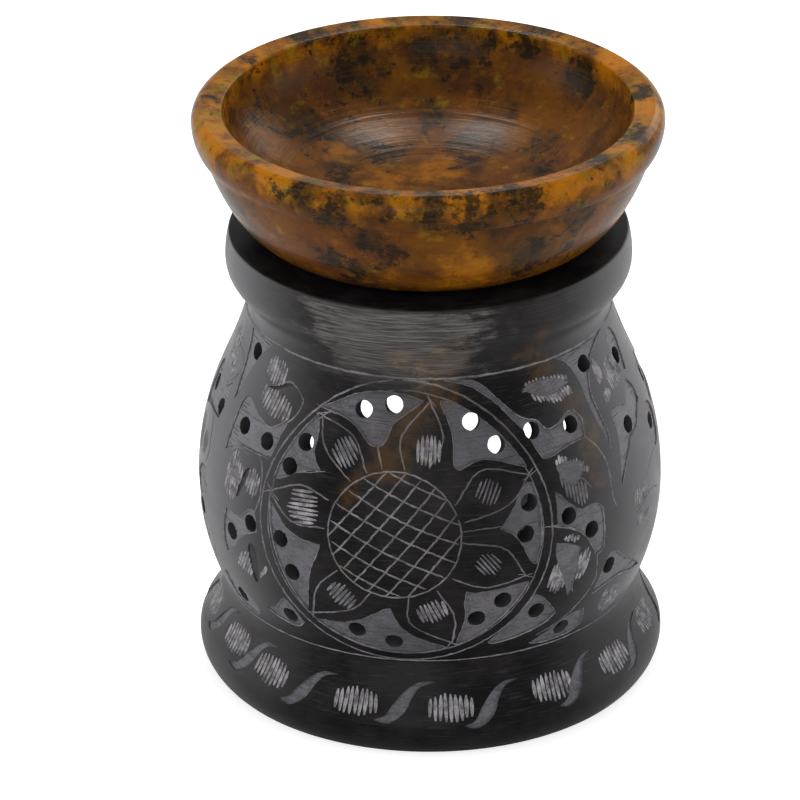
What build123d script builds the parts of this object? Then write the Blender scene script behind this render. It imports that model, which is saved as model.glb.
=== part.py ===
from build123d import *
import os
from math import cos, radians, sin, sqrt

# Carved stone oil burner, in millimetres. The origin is the centre of its base and +Z is up.
# The carved medallion faces -Y, the candle door opens towards +Y and the dish lifts off the collar.
# Every stone piece is turned on a lathe, so outlines are given as radius and height.

# Foot: the wide flange at the bottom of the body, standing out from the waist above it
foot_height = 16.5
foot_flange = 4.9
foot_edge_height = 5.2
foot_round_drop = 0.9
foot_round_rise = 2.9
base_inset = 2.3

# Carved wall: the bellied, pierced part between the foot and the neck
wall_height = 53.5
belly_radius = 41.35
waist_inset = 4.55
neck_inset = 9.35
belly_height_share = 0.357
shoulder_height_share = 0.776
shoulder_radius_share = 0.47
wall = 4.0

# Collar: the plain band on top of the wall, with the bore that the dish is located in
collar_height = 13.8
collar_flare = 3.75
collar_taper = 0.55
collar_bulge_height_share = 0.652
neck_wall = 8.0

# Candle chamber: its floor and its door in the back wall
floor_height = 14.0
door_clearance = 5.2
door_height = 38.0
door_corner_radius = 18.0
cut_overrun = 5.0

# Vents: holes drilled square to the carved wall, as degrees from the front and
# a share of the wall's length from the foot up to the neck
vent_radius = 1.65
medallion_vent_shares = (
    (-7.5, 0.905), (15, 0.85), (21.5, 0.77), (28.5, 0.57), (27, 0.47), (21, 0.25), (14.5, 0.19),
    (-6.5, 0.095), (-16, 0.13), (-33, 0.3), (-36.5, 0.405), (-36, 0.65), (-32.5, 0.74), (-16.5, 0.88),
)
right_vent_shares = (
    (32.5, 0.79), (45.5, 0.77), (39.5, 0.49), (46.5, 0.415), (30.5, 0.18), (40, 0.065),
    (57.4, 0.925), (68.5, 0.665), (53.5, 0.25), (77, 0.865), (84.5, 0.585),
)
left_vent_shares = (
    (-36, 0.115), (-45.5, 0.695), (-56, 0.7), (-47, 0.41), (-55, 0.34), (-57, 0.08),
    (-62.5, 0.925), (-72, 0.68), (-74.5, 0.315), (-84, 0.7), (-83, 0.36),
)
side_column_angles = (-104, -129, 99, 126)
side_vent_shares = ((-5, 0.7), (5, 0.695), (-4.5, 0.34), (4, 0.41), (-6, 0.08))

# Dish: a loose turned bowl, kept on the collar by a short spigot in the bore
dish_height = 23.2
dish_radius = 41.2
dish_seat_width = 2.0
spigot_depth = 3.5
spigot_clearance = 0.4
rim_band_height = 7.2
rim_width = 5.5
rim_lip = 0.5
rim_step = 1.0
rim_overhang = 2.0
rim_round = 1.8
rim_bulge_height_share = 0.64
rim_step_height_share = 0.11
dish_floor = 6.0
dish_side_shares = (0.45, 0.8, 0.46)
bowl_side_shares = (0.97, 0.31, 0.61)

# Tealight: a drawn metal cup with wax, a wick and the wick's metal base
cup_radius = 19.2
cup_height = 15.0
cup_wall = 0.4
cup_lip = 0.6
wax_height = 11.6
wax_clearance = 0.15
wick_radius = 0.9
wick_rise = 7.0
sustainer_radius = 6.5
sustainer_thickness = 0.3
sustainer_neck_height = 5.0
sustainer_neck_wall = 0.5
wick_clearance = 0.05

# Heights and radii that follow from the sizes above
waist_radius = belly_radius - waist_inset
foot_radius = waist_radius + foot_flange
base_radius = foot_radius - base_inset
neck_radius = belly_radius - neck_inset
collar_radius = neck_radius + collar_flare
neck_bore_radius = neck_radius - neck_wall
door_width = 2 * (cup_radius + cup_lip + door_clearance)
waist_height = foot_height
neck_height = waist_height + wall_height
seat_height = neck_height + collar_height
belly_height = waist_height + wall_height * belly_height_share
shoulder_height = waist_height + wall_height * shoulder_height_share
shoulder_radius = neck_radius + (belly_radius - neck_radius) * shoulder_radius_share
collar_bulge_height = neck_height + collar_height * collar_bulge_height_share
collar_cove_height = (neck_height + collar_bulge_height) / 2
dish_foot_radius = neck_bore_radius + dish_seat_width

os.makedirs("parts", exist_ok=True)


def arc_radius(rise, drop):
    """Radius of an arc that starts upright and leans over by drop while it runs on by rise."""
    return (rise**2 + drop**2) / (2 * drop)


# The chamber's wall keeps one thickness: its arcs share their centres with the outer ones
lower_arc_radius = arc_radius(belly_height - waist_height, belly_radius - waist_radius)
upper_arc_radius = arc_radius(shoulder_height - belly_height, belly_radius - shoulder_radius)
chamber_radius = belly_radius - wall
lower_chamber_radius = lower_arc_radius - wall
upper_chamber_radius = upper_arc_radius - wall
chamber_floor_drop = lower_chamber_radius - sqrt(lower_chamber_radius**2 - (belly_height - floor_height) ** 2)
chamber_floor_radius = chamber_radius - chamber_floor_drop
throat_reach = upper_chamber_radius - (chamber_radius - neck_bore_radius)
throat_height = belly_height + sqrt(upper_chamber_radius**2 - throat_reach**2)

# The carved wall's outline, which the vents are set out along; its wire runs from the neck down to the foot
with BuildLine() as carved_wall:
    TangentArc(
        (waist_radius, waist_height), (belly_radius, belly_height), tangent=(0, -1), tangent_from_first=False
    )
    upper_wall = TangentArc((belly_radius, belly_height), (shoulder_radius, shoulder_height), tangent=(0, 1))
    TangentArc(upper_wall @ 1, (neck_radius, neck_height), tangent=upper_wall % 1)
wall_outline = carved_wall.wire()


def vent_plane(azimuth, wall_share):
    """Plane square to the carved wall at degrees from the front and a share of its length up from the foot."""
    neck_share = 1 - wall_share
    place = wall_outline @ neck_share
    along = wall_outline % neck_share
    outward = Vector(sin(radians(azimuth)), -cos(radians(azimuth)), 0)
    origin = outward * place.X + Vector(0, 0, place.Y)
    return Plane(origin, z_dir=outward * along.Y - Vector(0, 0, along.X))


vent_planes = [vent_plane(*vent) for vent in medallion_vent_shares + right_vent_shares + left_vent_shares]
for column_angle in side_column_angles:
    vent_planes += [vent_plane(column_angle + angle, share) for angle, share in side_vent_shares]

# Body: one block of stone, turned outside, hollowed through the collar, then cut and drilled
with BuildPart() as burner_body:
    with BuildSketch(Plane.XZ):
        with BuildLine():
            Line((0, 0), (base_radius, 0))
            TangentArc((foot_radius, foot_edge_height), (base_radius, 0), tangent=(0, -1))
            foot_round = TangentArc(
                (foot_radius, foot_edge_height),
                (foot_radius - foot_round_drop, foot_edge_height + foot_round_rise),
                tangent=(0, 1),
            )
            TangentArc(foot_round @ 1, (waist_radius, waist_height), tangent=foot_round % 1)
            add(wall_outline)
            Bezier(
                (neck_radius, neck_height),
                (neck_radius, collar_cove_height),
                (collar_radius, collar_cove_height),
                (collar_radius, collar_bulge_height),
            )
            TangentArc(
                (collar_radius, collar_bulge_height), (collar_radius - collar_taper, seat_height), tangent=(0, 1)
            )
            Line((collar_radius - collar_taper, seat_height), (neck_bore_radius, seat_height))
            Line((neck_bore_radius, seat_height), (neck_bore_radius, throat_height))
            TangentArc((chamber_radius, belly_height), (neck_bore_radius, throat_height), tangent=(0, 1))
            TangentArc((chamber_radius, belly_height), (chamber_floor_radius, floor_height), tangent=(0, -1))
            Line((chamber_floor_radius, floor_height), (0, floor_height))
            Line((0, floor_height), (0, 0))
        make_face()
    revolve(axis=Axis.Z)
    with BuildSketch(Plane.XZ):
        with Locations((0, floor_height)):
            Rectangle(door_width, door_height, align=(Align.CENTER, Align.MIN))
        fillet(vertices().group_by(Axis.Y)[-1], door_corner_radius)
    extrude(amount=-(max(foot_radius, belly_radius) + cut_overrun), mode=Mode.SUBTRACT)
    with Locations(*vent_planes):
        Hole(vent_radius, depth=wall + cut_overrun)
burner_body.part.label = "burner_body"
export_step(burner_body.part, "parts/burner_body.step")

# Dish: foot ring and spigot below, a rounded side, a stepped rim band and a deep smooth bowl
spigot_radius = neck_bore_radius - spigot_clearance
rim_top = seat_height + dish_height
rim_base = rim_top - rim_band_height
rim_inner_radius = dish_radius - rim_width
side_top_radius = dish_radius - rim_overhang
side_height = rim_base - seat_height
side_width = side_top_radius - dish_foot_radius
bowl_floor_height = seat_height + dish_floor
bowl_depth = rim_top - rim_lip - bowl_floor_height
with BuildPart() as oil_dish:
    with BuildSketch(Plane.XZ):
        with BuildLine():
            Line((0, seat_height - spigot_depth), (spigot_radius, seat_height - spigot_depth))
            Line((spigot_radius, seat_height - spigot_depth), (spigot_radius, seat_height))
            Line((spigot_radius, seat_height), (dish_foot_radius, seat_height))
            Bezier(
                (dish_foot_radius, seat_height),
                (dish_foot_radius + side_width * dish_side_shares[0], seat_height),
                (
                    dish_foot_radius + side_width * dish_side_shares[1],
                    seat_height + side_height * dish_side_shares[2],
                ),
                (side_top_radius, rim_base),
            )
            Line(
                (side_top_radius, rim_base),
                (side_top_radius + rim_step, rim_base + rim_band_height * rim_step_height_share),
            )
            TangentArc(
                (dish_radius, rim_base + rim_band_height * rim_bulge_height_share),
                (side_top_radius + rim_step, rim_base + rim_band_height * rim_step_height_share),
                tangent=(0, -1),
            )
            TangentArc(
                (dish_radius, rim_base + rim_band_height * rim_bulge_height_share),
                (dish_radius - rim_round, rim_top),
                tangent=(0, 1),
            )
            Line((dish_radius - rim_round, rim_top), (rim_inner_radius, rim_top - rim_lip))
            Bezier(
                (rim_inner_radius, rim_top - rim_lip),
                (rim_inner_radius * bowl_side_shares[0], bowl_floor_height + bowl_depth * bowl_side_shares[1]),
                (rim_inner_radius * bowl_side_shares[2], bowl_floor_height),
                (0, bowl_floor_height),
            )
            Line((0, bowl_floor_height), (0, seat_height - spigot_depth))
        make_face()
    revolve(axis=Axis.Z)
oil_dish.part.label = "oil_dish"
export_step(oil_dish.part, "parts/oil_dish.step")

# Tealight cup: a shallow drawn cup with a turned-out lip, standing on the chamber floor
cup_floor_height = floor_height + cup_wall
cup_inner_radius = cup_radius - cup_wall
with BuildPart() as tealight_cup:
    with BuildSketch(Plane.XZ):
        with BuildLine():
            Polyline(
                (0, floor_height),
                (cup_radius, floor_height),
                (cup_radius, floor_height + cup_height - cup_wall),
                (cup_radius + cup_lip, floor_height + cup_height - cup_wall),
                (cup_radius + cup_lip, floor_height + cup_height),
                (cup_inner_radius, floor_height + cup_height),
                (cup_inner_radius, cup_floor_height),
                (0, cup_floor_height),
                close=True,
            )
        make_face()
    revolve(axis=Axis.Z)
tealight_cup.part.label = "tealight_cup"
export_step(tealight_cup.part, "parts/tealight_cup.step")

# Wick base: a stamped disc on the cup's floor with a short tube that grips the wick
sleeve_bore_radius = wick_radius + wick_clearance
sleeve_radius = sleeve_bore_radius + sustainer_neck_wall
sleeve_top = cup_floor_height + sustainer_neck_height
with BuildPart() as wick_sustainer:
    with BuildSketch(Plane.XY.offset(cup_floor_height)):
        Circle(sustainer_radius)
    extrude(amount=sustainer_thickness)
    with BuildSketch(Plane.XY.offset(cup_floor_height)):
        Circle(sleeve_radius)
    extrude(amount=sustainer_neck_height)
    with BuildSketch(Plane.XY.offset(cup_floor_height)):
        Circle(sleeve_bore_radius)
    extrude(amount=sustainer_neck_height, mode=Mode.SUBTRACT)
wick_sustainer.part.label = "wick_sustainer"
export_step(wick_sustainer.part, "parts/wick_sustainer.step")

# Wick: a braided cotton cord, standing in the tube and out of the wax
wax_top = cup_floor_height + wax_height
with BuildPart() as tealight_wick:
    with BuildSketch(Plane.XY.offset(cup_floor_height)):
        Circle(wick_radius)
    extrude(amount=wax_height + wick_rise)
tealight_wick.part.label = "tealight_wick"
export_step(tealight_wick.part, "parts/tealight_wick.step")

# Wax: cast round the wick and its base, so it has their shapes as hollows
with BuildPart() as tealight_wax:
    with BuildSketch(Plane.XZ):
        with BuildLine():
            Polyline(
                (sleeve_bore_radius, wax_top),
                (sleeve_bore_radius, sleeve_top),
                (sleeve_radius + wick_clearance, sleeve_top),
                (sleeve_radius + wick_clearance, cup_floor_height + sustainer_thickness),
                (sustainer_radius + wick_clearance, cup_floor_height + sustainer_thickness),
                (sustainer_radius + wick_clearance, cup_floor_height),
                (cup_inner_radius - wax_clearance, cup_floor_height),
                (cup_inner_radius - wax_clearance, wax_top),
                close=True,
            )
        make_face()
    revolve(axis=Axis.Z)
tealight_wax.part.label = "tealight_wax"
export_step(tealight_wax.part, "parts/tealight_wax.step")
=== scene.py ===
import math
import random

import bpy
from mathutils import Matrix, Vector


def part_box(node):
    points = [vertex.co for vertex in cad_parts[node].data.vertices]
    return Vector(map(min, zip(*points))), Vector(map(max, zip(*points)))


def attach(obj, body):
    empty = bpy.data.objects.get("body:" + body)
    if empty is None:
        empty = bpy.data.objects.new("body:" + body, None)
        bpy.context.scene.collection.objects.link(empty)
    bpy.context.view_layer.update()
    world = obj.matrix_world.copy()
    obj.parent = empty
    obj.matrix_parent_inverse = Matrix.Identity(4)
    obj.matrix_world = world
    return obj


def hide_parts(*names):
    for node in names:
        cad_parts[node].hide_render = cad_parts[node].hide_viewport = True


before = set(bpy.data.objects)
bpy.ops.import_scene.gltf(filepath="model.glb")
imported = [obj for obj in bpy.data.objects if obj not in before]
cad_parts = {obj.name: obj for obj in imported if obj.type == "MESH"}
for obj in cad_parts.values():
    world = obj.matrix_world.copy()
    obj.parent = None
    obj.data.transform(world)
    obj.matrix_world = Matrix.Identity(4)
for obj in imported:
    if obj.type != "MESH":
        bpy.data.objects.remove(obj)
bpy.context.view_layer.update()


# Black stone finishes
# One block of black soapstone, polished and oiled outside. Grounds are scraped grey, tool lines are pale
# powdered stone, bored places stay dull, and a brown stain runs through.
def add_node(tree, kind, inputs=None, **settings):
    """Adds one shader node, sets its options and fills or links its inputs."""
    node = tree.nodes.new("ShaderNode" + kind)
    for option, value in settings.items():
        setattr(node, option, value)
    for socket, value in (inputs or {}).items():
        if isinstance(value, bpy.types.NodeSocket):
            tree.links.new(value, node.inputs[socket])
        else:
            node.inputs[socket].default_value = value
    return node


def math_node(tree, operation, first, second=0.0, third=0.0):
    """The output of one Math node."""
    return add_node(tree, "Math", {0: first, 1: second, 2: third}, operation=operation).outputs[0]


def product(tree, first, second):
    """Two values multiplied."""
    return math_node(tree, "MULTIPLY", first, second)


def total(tree, first, second):
    """Two values added."""
    return math_node(tree, "ADD", first, second)


def vector_node(tree, operation, first, second=(0, 0, 0)):
    """The output of one Vector Math node: a value for a length or a distance, and otherwise a vector."""
    node = add_node(tree, "VectorMath", {0: first, 1: second}, operation=operation)
    return node.outputs["Value" if operation in ("LENGTH", "DISTANCE") else "Vector"]


def axis_values(tree, place):
    """The X, Y and Z values of a place."""
    return add_node(tree, "SeparateXYZ", {0: place}).outputs


def moved_place(tree, place, **mapping):
    """A place shifted, turned or stretched by a Mapping node."""
    return add_node(tree, "Mapping", {"Vector": place, **mapping}).outputs[0]


def soft_step(tree, value, low, high):
    """A value that rises smoothly from 0 at low to 1 at high."""
    settings = {"Value": value, "From Min": low, "From Max": high}
    return add_node(tree, "MapRange", settings, interpolation_type="SMOOTHSTEP").outputs[0]


def mix_colour(tree, factor, first, second):
    """The colour output of one Mix node."""
    return add_node(tree, "Mix", {0: factor, 6: first, 7: second}, data_type="RGBA").outputs[2]


def grain(tree, place, scale, detail=3.0, roughness=0.5, distortion=0.0):
    """The value of a noise texture, from 0 to 1 around a middle of 0.5."""
    settings = {"Scale": scale, "Detail": detail, "Roughness": roughness, "Distortion": distortion}
    return add_node(tree, "TexNoise", {"Vector": place, **settings}).outputs[0]


def start_group(name, inputs, outputs):
    """A shader node group with float inputs and the named outputs, and its two end nodes."""
    group = bpy.data.node_groups.new(name, "ShaderNodeTree")
    for socket, value in inputs.items():
        entry = group.interface.new_socket(socket, in_out="INPUT", socket_type="NodeSocketFloat")
        entry.default_value = value
    for socket, kind in outputs.items():
        group.interface.new_socket(socket, in_out="OUTPUT", socket_type="NodeSocket" + kind)
    return group, group.nodes.new("NodeGroupInput"), group.nodes.new("NodeGroupOutput")


def start_material(name):
    """A material with its node tree, its Principled shader and its Object coordinates."""
    material = bpy.data.materials.new(name)
    material.use_nodes = True
    tree = material.node_tree
    return material, tree, tree.nodes["Principled BSDF"], add_node(tree, "TexCoord").outputs["Object"]


def use_group(tree, group, **inputs):
    """Places a node group in a material with its own values."""
    node = add_node(tree, "Group", node_tree=group)
    for socket, value in inputs.items():
        node.inputs[socket.replace("_", " ")].default_value = value
    return node


def finish_material(tree, shader, colour, roughness, height, bump_strength, bump_depth):
    """Links a surface's colour, roughness and bump height to its shader."""
    tree.links.new(colour, shader.inputs["Base Color"])
    tree.links.new(roughness, shader.inputs["Roughness"])
    bump = add_node(tree, "Bump", {"Strength": bump_strength, "Distance": bump_depth, "Height": height})
    tree.links.new(bump.outputs[0], shader.inputs["Normal"])


# Flat carving coordinates of the body as a group: distance round the wall from the front, and height
carving_radius = 0.040
wall_place, _, place_out = start_group("wall_place", {}, {"Place": "Vector"})
place_axes = axis_values(wall_place, add_node(wall_place, "TexCoord").outputs["Object"])
front_distance = product(wall_place, place_axes["Y"], -1.0)
place_angle = math_node(wall_place, "ARCTAN2", place_axes["X"], front_distance)
place_round = product(wall_place, place_angle, carving_radius)
place_join = add_node(wall_place, "CombineXYZ", {"X": place_round, "Y": place_axes["Z"]})
wall_place.links.new(place_join.outputs[0], place_out.inputs["Place"])

# Brown mineral stain: soft patches as distance round the wall, height and reach, in metres
stain_patches = (
    (0.0075, 0.0760, 0.0050), (0.0055, 0.0715, 0.0070), (0.0035, 0.0670, 0.0060), (-0.0030, 0.0625, 0.0060),
    (-0.0050, 0.0585, 0.0070), (-0.0075, 0.0545, 0.0050), (0.0010, 0.0640, 0.0045),
    (-0.0115, 0.0495, 0.0045), (0.0265, 0.0760, 0.0040), (0.0240, 0.0715, 0.0045), (0.0275, 0.0665, 0.0050),
    (0.0330, 0.0600, 0.0050), (0.0345, 0.0540, 0.0045), (0.0350, 0.0495, 0.0035), (0.0600, 0.0500, 0.0060),
    (-0.0700, 0.0380, 0.0060),
)
full_share = 0.25


def patch_mask(tree, place, patches, wander_scale, wander):
    """A mask of soft ragged patches; a patch is its middle and its reach, and is full in a share of that."""
    shift = add_node(tree, "TexNoise", {"Vector": place, "Scale": wander_scale, "Detail": 6.0}).outputs[1]
    shift = vector_node(tree, "SUBTRACT", shift, (0.5, 0.5, 0.5))
    moved = vector_node(tree, "ADD", place, vector_node(tree, "MULTIPLY", shift, (wander, wander, wander)))
    mask = 0.0
    for middle, reach in patches:
        distance = vector_node(tree, "DISTANCE", moved, middle)
        mask = math_node(tree, "MAXIMUM", soft_step(tree, distance, reach, reach * full_share), mask)
    return mask


def wall_mask(tree, patches, wander_scale, wander):
    """A mask of soft patches that are given by distance round the wall, height and reach."""
    middles = [((around, height, 0), reach) for around, height, reach in patches]
    return patch_mask(tree, use_group(tree, wall_place).outputs[0], middles, wander_scale, wander)


def mask_group(name, patches, wander_scale, wander):
    """A node group that gives a mask of soft patches on the body's wall."""
    group, _, group_out = start_group(name, {}, {"Mask": "Float"})
    group.links.new(wall_mask(group, patches, wander_scale, wander), group_out.inputs["Mask"])
    return group


brown_stain = mask_group("brown_stain", stain_patches, wander_scale=190.0, wander=0.014)

# Patches, mostly high on the wall, where the pale grounds and lines are made darker, in the same measures
darker_carving_patches = (
    (0.0125, 0.0450, 0.0155), (0.0150, 0.0560, 0.0120), (-0.0060, 0.0660, 0.0110), (0.0110, 0.0620, 0.0110),
    (0.0280, 0.0470, 0.0080), (-0.0520, 0.0480, 0.0120), (0.0800, 0.0420, 0.0160),
    (-0.0030, 0.0222, 0.0085), (-0.0140, 0.0580, 0.0065), (-0.0130, 0.0305, 0.0055),
)
darker_carving = mask_group("darker_carving", darker_carving_patches, wander_scale=150.0, wander=0.012)

# Fine tool scratches: streaks round the body, as left by the lathe and the polishing cloth. A share of the
# distance from the axis is added to the height, so that the streaks are rings on level faces too
level_share = 0.5
lathe_scratches, scratch_in, scratch_out = start_group(
    "lathe_scratches", {"Round Scale": 60.0, "Height Scale": 2600.0}, {"Streaks": "Float"}
)
scratch_place = axis_values(lathe_scratches, use_group(lathe_scratches, wall_place).outputs[0])
scratch_round = product(lathe_scratches, scratch_place["X"], scratch_in.outputs["Round Scale"])
object_place = add_node(lathe_scratches, "TexCoord").outputs["Object"]
level_place = vector_node(lathe_scratches, "MULTIPLY", object_place, (level_share, level_share, 0))
level_reach = vector_node(lathe_scratches, "LENGTH", level_place)
scratch_height = total(lathe_scratches, scratch_place["Y"], level_reach)
scratch_height = product(lathe_scratches, scratch_height, scratch_in.outputs["Height Scale"])
scratch_join = add_node(lathe_scratches, "CombineXYZ", {"X": scratch_round, "Y": scratch_height}).outputs[0]
lathe_scratches.links.new(grain(lathe_scratches, scratch_join, 1.0, 4.0, 0.6), scratch_out.inputs["Streaks"])

black_tone = (0.0040, 0.0037, 0.0043, 1)
charcoal_tone = (0.0125, 0.0108, 0.0116, 1)
# Grey of the painted sheen on walls seen at a glancing angle
dust_sheen_tone = (0.270, 0.264, 0.276, 1)
stain_tone = (0.046, 0.023, 0.006, 1)
scuff_tone = (0.140, 0.130, 0.124, 1)
ground_tone = (0.110, 0.105, 0.120, 1)
ground_dark_tone = (0.046, 0.044, 0.050, 1)
line_tone = (0.240, 0.231, 0.246, 1)
line_dark_tone = (0.085, 0.079, 0.090, 1)
stroke_tone = (0.360, 0.350, 0.365, 1)
tan_tone = (0.200, 0.145, 0.095, 1)
bore_tone = (0.016, 0.015, 0.015, 1)

# Heights between which the painted glancing sheen, thin on the foot, becomes the wall's full sheen, the
# collar's scuffed skin begins, and it ends below the dish's seat
dust_sheen_heights = (0.0140, 0.0200)
collar_heights = (0.0660, 0.0740)
seat_heights = (0.0838, 0.0828)

# Scuffed front of the collar: its middle round the wall, how far it wanders, and its reach from none to full
scuff_middle = -0.0045
scuff_wander = 0.050
scuff_reaches = (0.020, 0.011)

# Directions of the polished skin's hairlines and of the chisel's strokes, in radians, and their scales along
# and across
hairline_turns = (0.35, 1.2, 2.5)
hairline_scale = (150, 5200, 1)
chisel_turns = (0.7, 2.2, 2.9)
chisel_scale = (620, 3600, 1)

# Tan places of the scuffed collar, in the same measures as the stain
tan_patches = ((-0.0035, 0.0735, 0.0040), (0.0005, 0.0712, 0.0050), (0.0038, 0.0755, 0.0030))


def dust_sheen_film(tree, colour, height, strength):
    """The colour with a painted sheen, as of stone dust, that greys an upright wall seen at a glancing angle.
    """
    normal = add_node(tree, "NewGeometry").outputs["Normal"]
    level = vector_node(tree, "MULTIPLY", normal, (1, 1, 0))
    upright = vector_node(tree, "LENGTH", level)
    level = vector_node(tree, "NORMALIZE", level)
    facing = add_node(tree, "LayerWeight", {"Blend": 0.5, "Normal": level}).outputs["Facing"]
    dust = product(tree, soft_step(tree, facing, 0.20, 0.76), soft_step(tree, upright, 0.45, 0.90))
    above_foot = math_node(tree, "MULTIPLY_ADD", soft_step(tree, height, *dust_sheen_heights), 0.6, 0.4)
    dust = product(tree, dust, above_foot)
    return mix_colour(tree, product(tree, dust, strength), colour, dust_sheen_tone)


def polished_stone():
    """Satin black stone with grey clouds, a brown stain and scuffed streaks on the front of the collar."""
    material, tree, shader, place = start_material("polished_black_stone")
    clouds = soft_step(tree, grain(tree, place, 120.0, 7.0, 0.65), 0.40, 0.66)
    colour = mix_colour(tree, clouds, black_tone, charcoal_tone)
    stain = use_group(tree, brown_stain).outputs["Mask"]
    stain_grain = soft_step(tree, grain(tree, place, 420.0, 6.0, 0.75), 0.32, 0.60)
    colour = mix_colour(tree, product(tree, stain, stain_grain), colour, stain_tone)
    streaks = use_group(tree, lathe_scratches, Round_Scale=130.0, Height_Scale=2700.0).outputs["Streaks"]
    wall = use_group(tree, wall_place).outputs[0]
    flat_place = axis_values(tree, wall)
    below_seat = soft_step(tree, flat_place["Y"], *seat_heights)
    scuff_side = math_node(tree, "ABSOLUTE", total(tree, flat_place["X"], -scuff_middle))
    torn_place = moved_place(tree, place, Scale=(1, 1, 2.6))
    scuff_shift = product(tree, grain(tree, torn_place, 130.0, 8.0, 0.72), scuff_wander)
    scuff_reach = math_node(tree, "SUBTRACT", total(tree, scuff_side, scuff_shift), scuff_wander / 2)
    scuff_mask = math_node(tree, "MULTIPLY_ADD", soft_step(tree, scuff_reach, *scuff_reaches), 0.84, 0.10)
    scuff_mask = product(tree, scuff_mask, soft_step(tree, flat_place["Y"], *collar_heights))
    scuff_mask = product(tree, scuff_mask, below_seat)
    scratched = math_node(tree, "MULTIPLY_ADD", soft_step(tree, streaks, 0.38, 0.66), 0.7, 0.3)
    scuffs = product(tree, scuff_mask, scratched)
    tan = wall_mask(tree, tan_patches, wander_scale=260.0, wander=0.006)
    tan = product(tree, tan, soft_step(tree, grain(tree, torn_place, 420.0, 6.0, 0.75), 0.36, 0.60))
    scuffs = math_node(tree, "MAXIMUM", scuffs, product(tree, tan, 0.8))
    colour = mix_colour(tree, scuffs, colour, mix_colour(tree, tan, scuff_tone, tan_tone))
    fine_streaks = use_group(tree, lathe_scratches, Round_Scale=150.0, Height_Scale=5200.0).outputs["Streaks"]
    faint = product(tree, soft_step(tree, fine_streaks, 0.54, 0.74), 0.55)
    colour = mix_colour(tree, faint, colour, ground_dark_tone)
    for turn in hairline_turns:
        turned = moved_place(tree, wall, Rotation=(0, 0, turn), Scale=hairline_scale)
        hairlines = product(tree, soft_step(tree, grain(tree, turned, 1.0, 2.0), 0.66, 0.76), below_seat)
        colour = mix_colour(tree, product(tree, hairlines, 0.6), colour, ground_dark_tone)
    # Painted sheen that greys the upright walls seen at a glancing angle
    colour = dust_sheen_film(tree, colour, flat_place["Y"], 0.46)
    roughness = math_node(tree, "MULTIPLY_ADD", clouds, 0.12, 0.30)
    roughness = total(tree, roughness, product(tree, scuffs, 0.25))
    roughness = total(tree, roughness, product(tree, faint, 0.5))
    height = total(tree, fine_streaks, product(tree, grain(tree, place, 800.0, 4.0), 0.8))
    finish_material(tree, shader, colour, roughness, height, bump_strength=0.4, bump_depth=0.00006)
    shader.inputs["Specular IOR Level"].default_value = 0.09
    return material


def scraped_stone():
    """Dull grey ground, scraped flat with a small chisel in short crossing strokes."""
    material, tree, shader, place = start_material("scraped_grey_ground")
    wall = use_group(tree, wall_place).outputs[0]
    strokes = 0.0
    for turn in chisel_turns:
        turned = moved_place(tree, wall, Rotation=(0, 0, turn), Scale=chisel_scale)
        strokes = math_node(tree, "MAXIMUM", grain(tree, turned, 1.0, 3.0, 0.6), strokes)
    patches = grain(tree, place, 330.0, 5.0, 0.65)
    speckle = grain(tree, place, 2300.0, 3.0, 0.7)
    shade = product(tree, total(tree, strokes, total(tree, patches, speckle)), 1 / 3)
    colour = mix_colour(tree, soft_step(tree, shade, 0.42, 0.60), ground_dark_tone, ground_tone)
    pale = product(tree, soft_step(tree, strokes, 0.66, 0.82), 0.5)
    colour = mix_colour(tree, pale, colour, line_tone)
    # The ground is made darker in the listed patches
    darkened = product(tree, use_group(tree, darker_carving).outputs["Mask"], 0.6)
    colour = mix_colour(tree, darkened, colour, ground_dark_tone)
    stain = use_group(tree, brown_stain).outputs["Mask"]
    colour = mix_colour(tree, product(tree, stain, 0.3), colour, stain_tone)
    # Painted sheen that greys the upright walls seen at a glancing angle
    colour = dust_sheen_film(tree, colour, axis_values(tree, place)["Z"], 0.42)
    roughness = math_node(tree, "MULTIPLY_ADD", patches, 0.15, 0.62)
    height = total(tree, strokes, product(tree, speckle, 0.8))
    finish_material(tree, shader, colour, roughness, height, bump_strength=0.6, bump_depth=0.00010)
    return material


def engraved_stone(name, pale_tone):
    """Pale powdery stone at the bottom of a tool cut, with a faint brown tint here and there."""
    material, tree, shader, place = start_material(name)
    wear = grain(tree, place, 560.0, 6.0, 0.75)
    colour = mix_colour(tree, soft_step(tree, wear, 0.36, 0.66), line_dark_tone, pale_tone)
    # The line is made darker in the listed patches
    darkened = product(tree, use_group(tree, darker_carving).outputs["Mask"], 0.75)
    colour = mix_colour(tree, darkened, colour, ground_dark_tone)
    tint = soft_step(tree, grain(tree, place, 210.0, 4.0, 0.6), 0.52, 0.68)
    stain = math_node(tree, "MAXIMUM", use_group(tree, brown_stain).outputs["Mask"], tint)
    colour = mix_colour(tree, product(tree, stain, 0.35), colour, tan_tone)
    roughness = math_node(tree, "MULTIPLY_ADD", wear, 0.2, 0.7)
    powder = grain(tree, place, 2600.0, 2.0)
    finish_material(tree, shader, colour, roughness, powder, bump_strength=0.5, bump_depth=0.00006)
    return material


def bored_stone():
    """Dull dark stone, rough from the drill and the hollowing tool."""
    material, tree, shader, place = start_material("bored_dull_stone")
    rings = use_group(tree, lathe_scratches, Round_Scale=40.0, Height_Scale=900.0).outputs["Streaks"]
    dust = grain(tree, place, 300.0, 5.0, 0.6)
    colour = mix_colour(tree, soft_step(tree, dust, 0.35, 0.75), bore_tone, ground_dark_tone)
    roughness = math_node(tree, "MULTIPLY_ADD", dust, 0.15, 0.75)
    height = total(tree, rings, dust)
    finish_material(tree, shader, colour, roughness, height, bump_strength=0.6, bump_depth=0.00015)
    return material


polished_finish = polished_stone()
scraped_finish = scraped_stone()
engraved_finish = engraved_stone("engraved_pale_line", line_tone)
hatched_finish = engraved_stone("hatched_pale_stroke", stroke_tone)
bored_finish = bored_stone()

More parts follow.
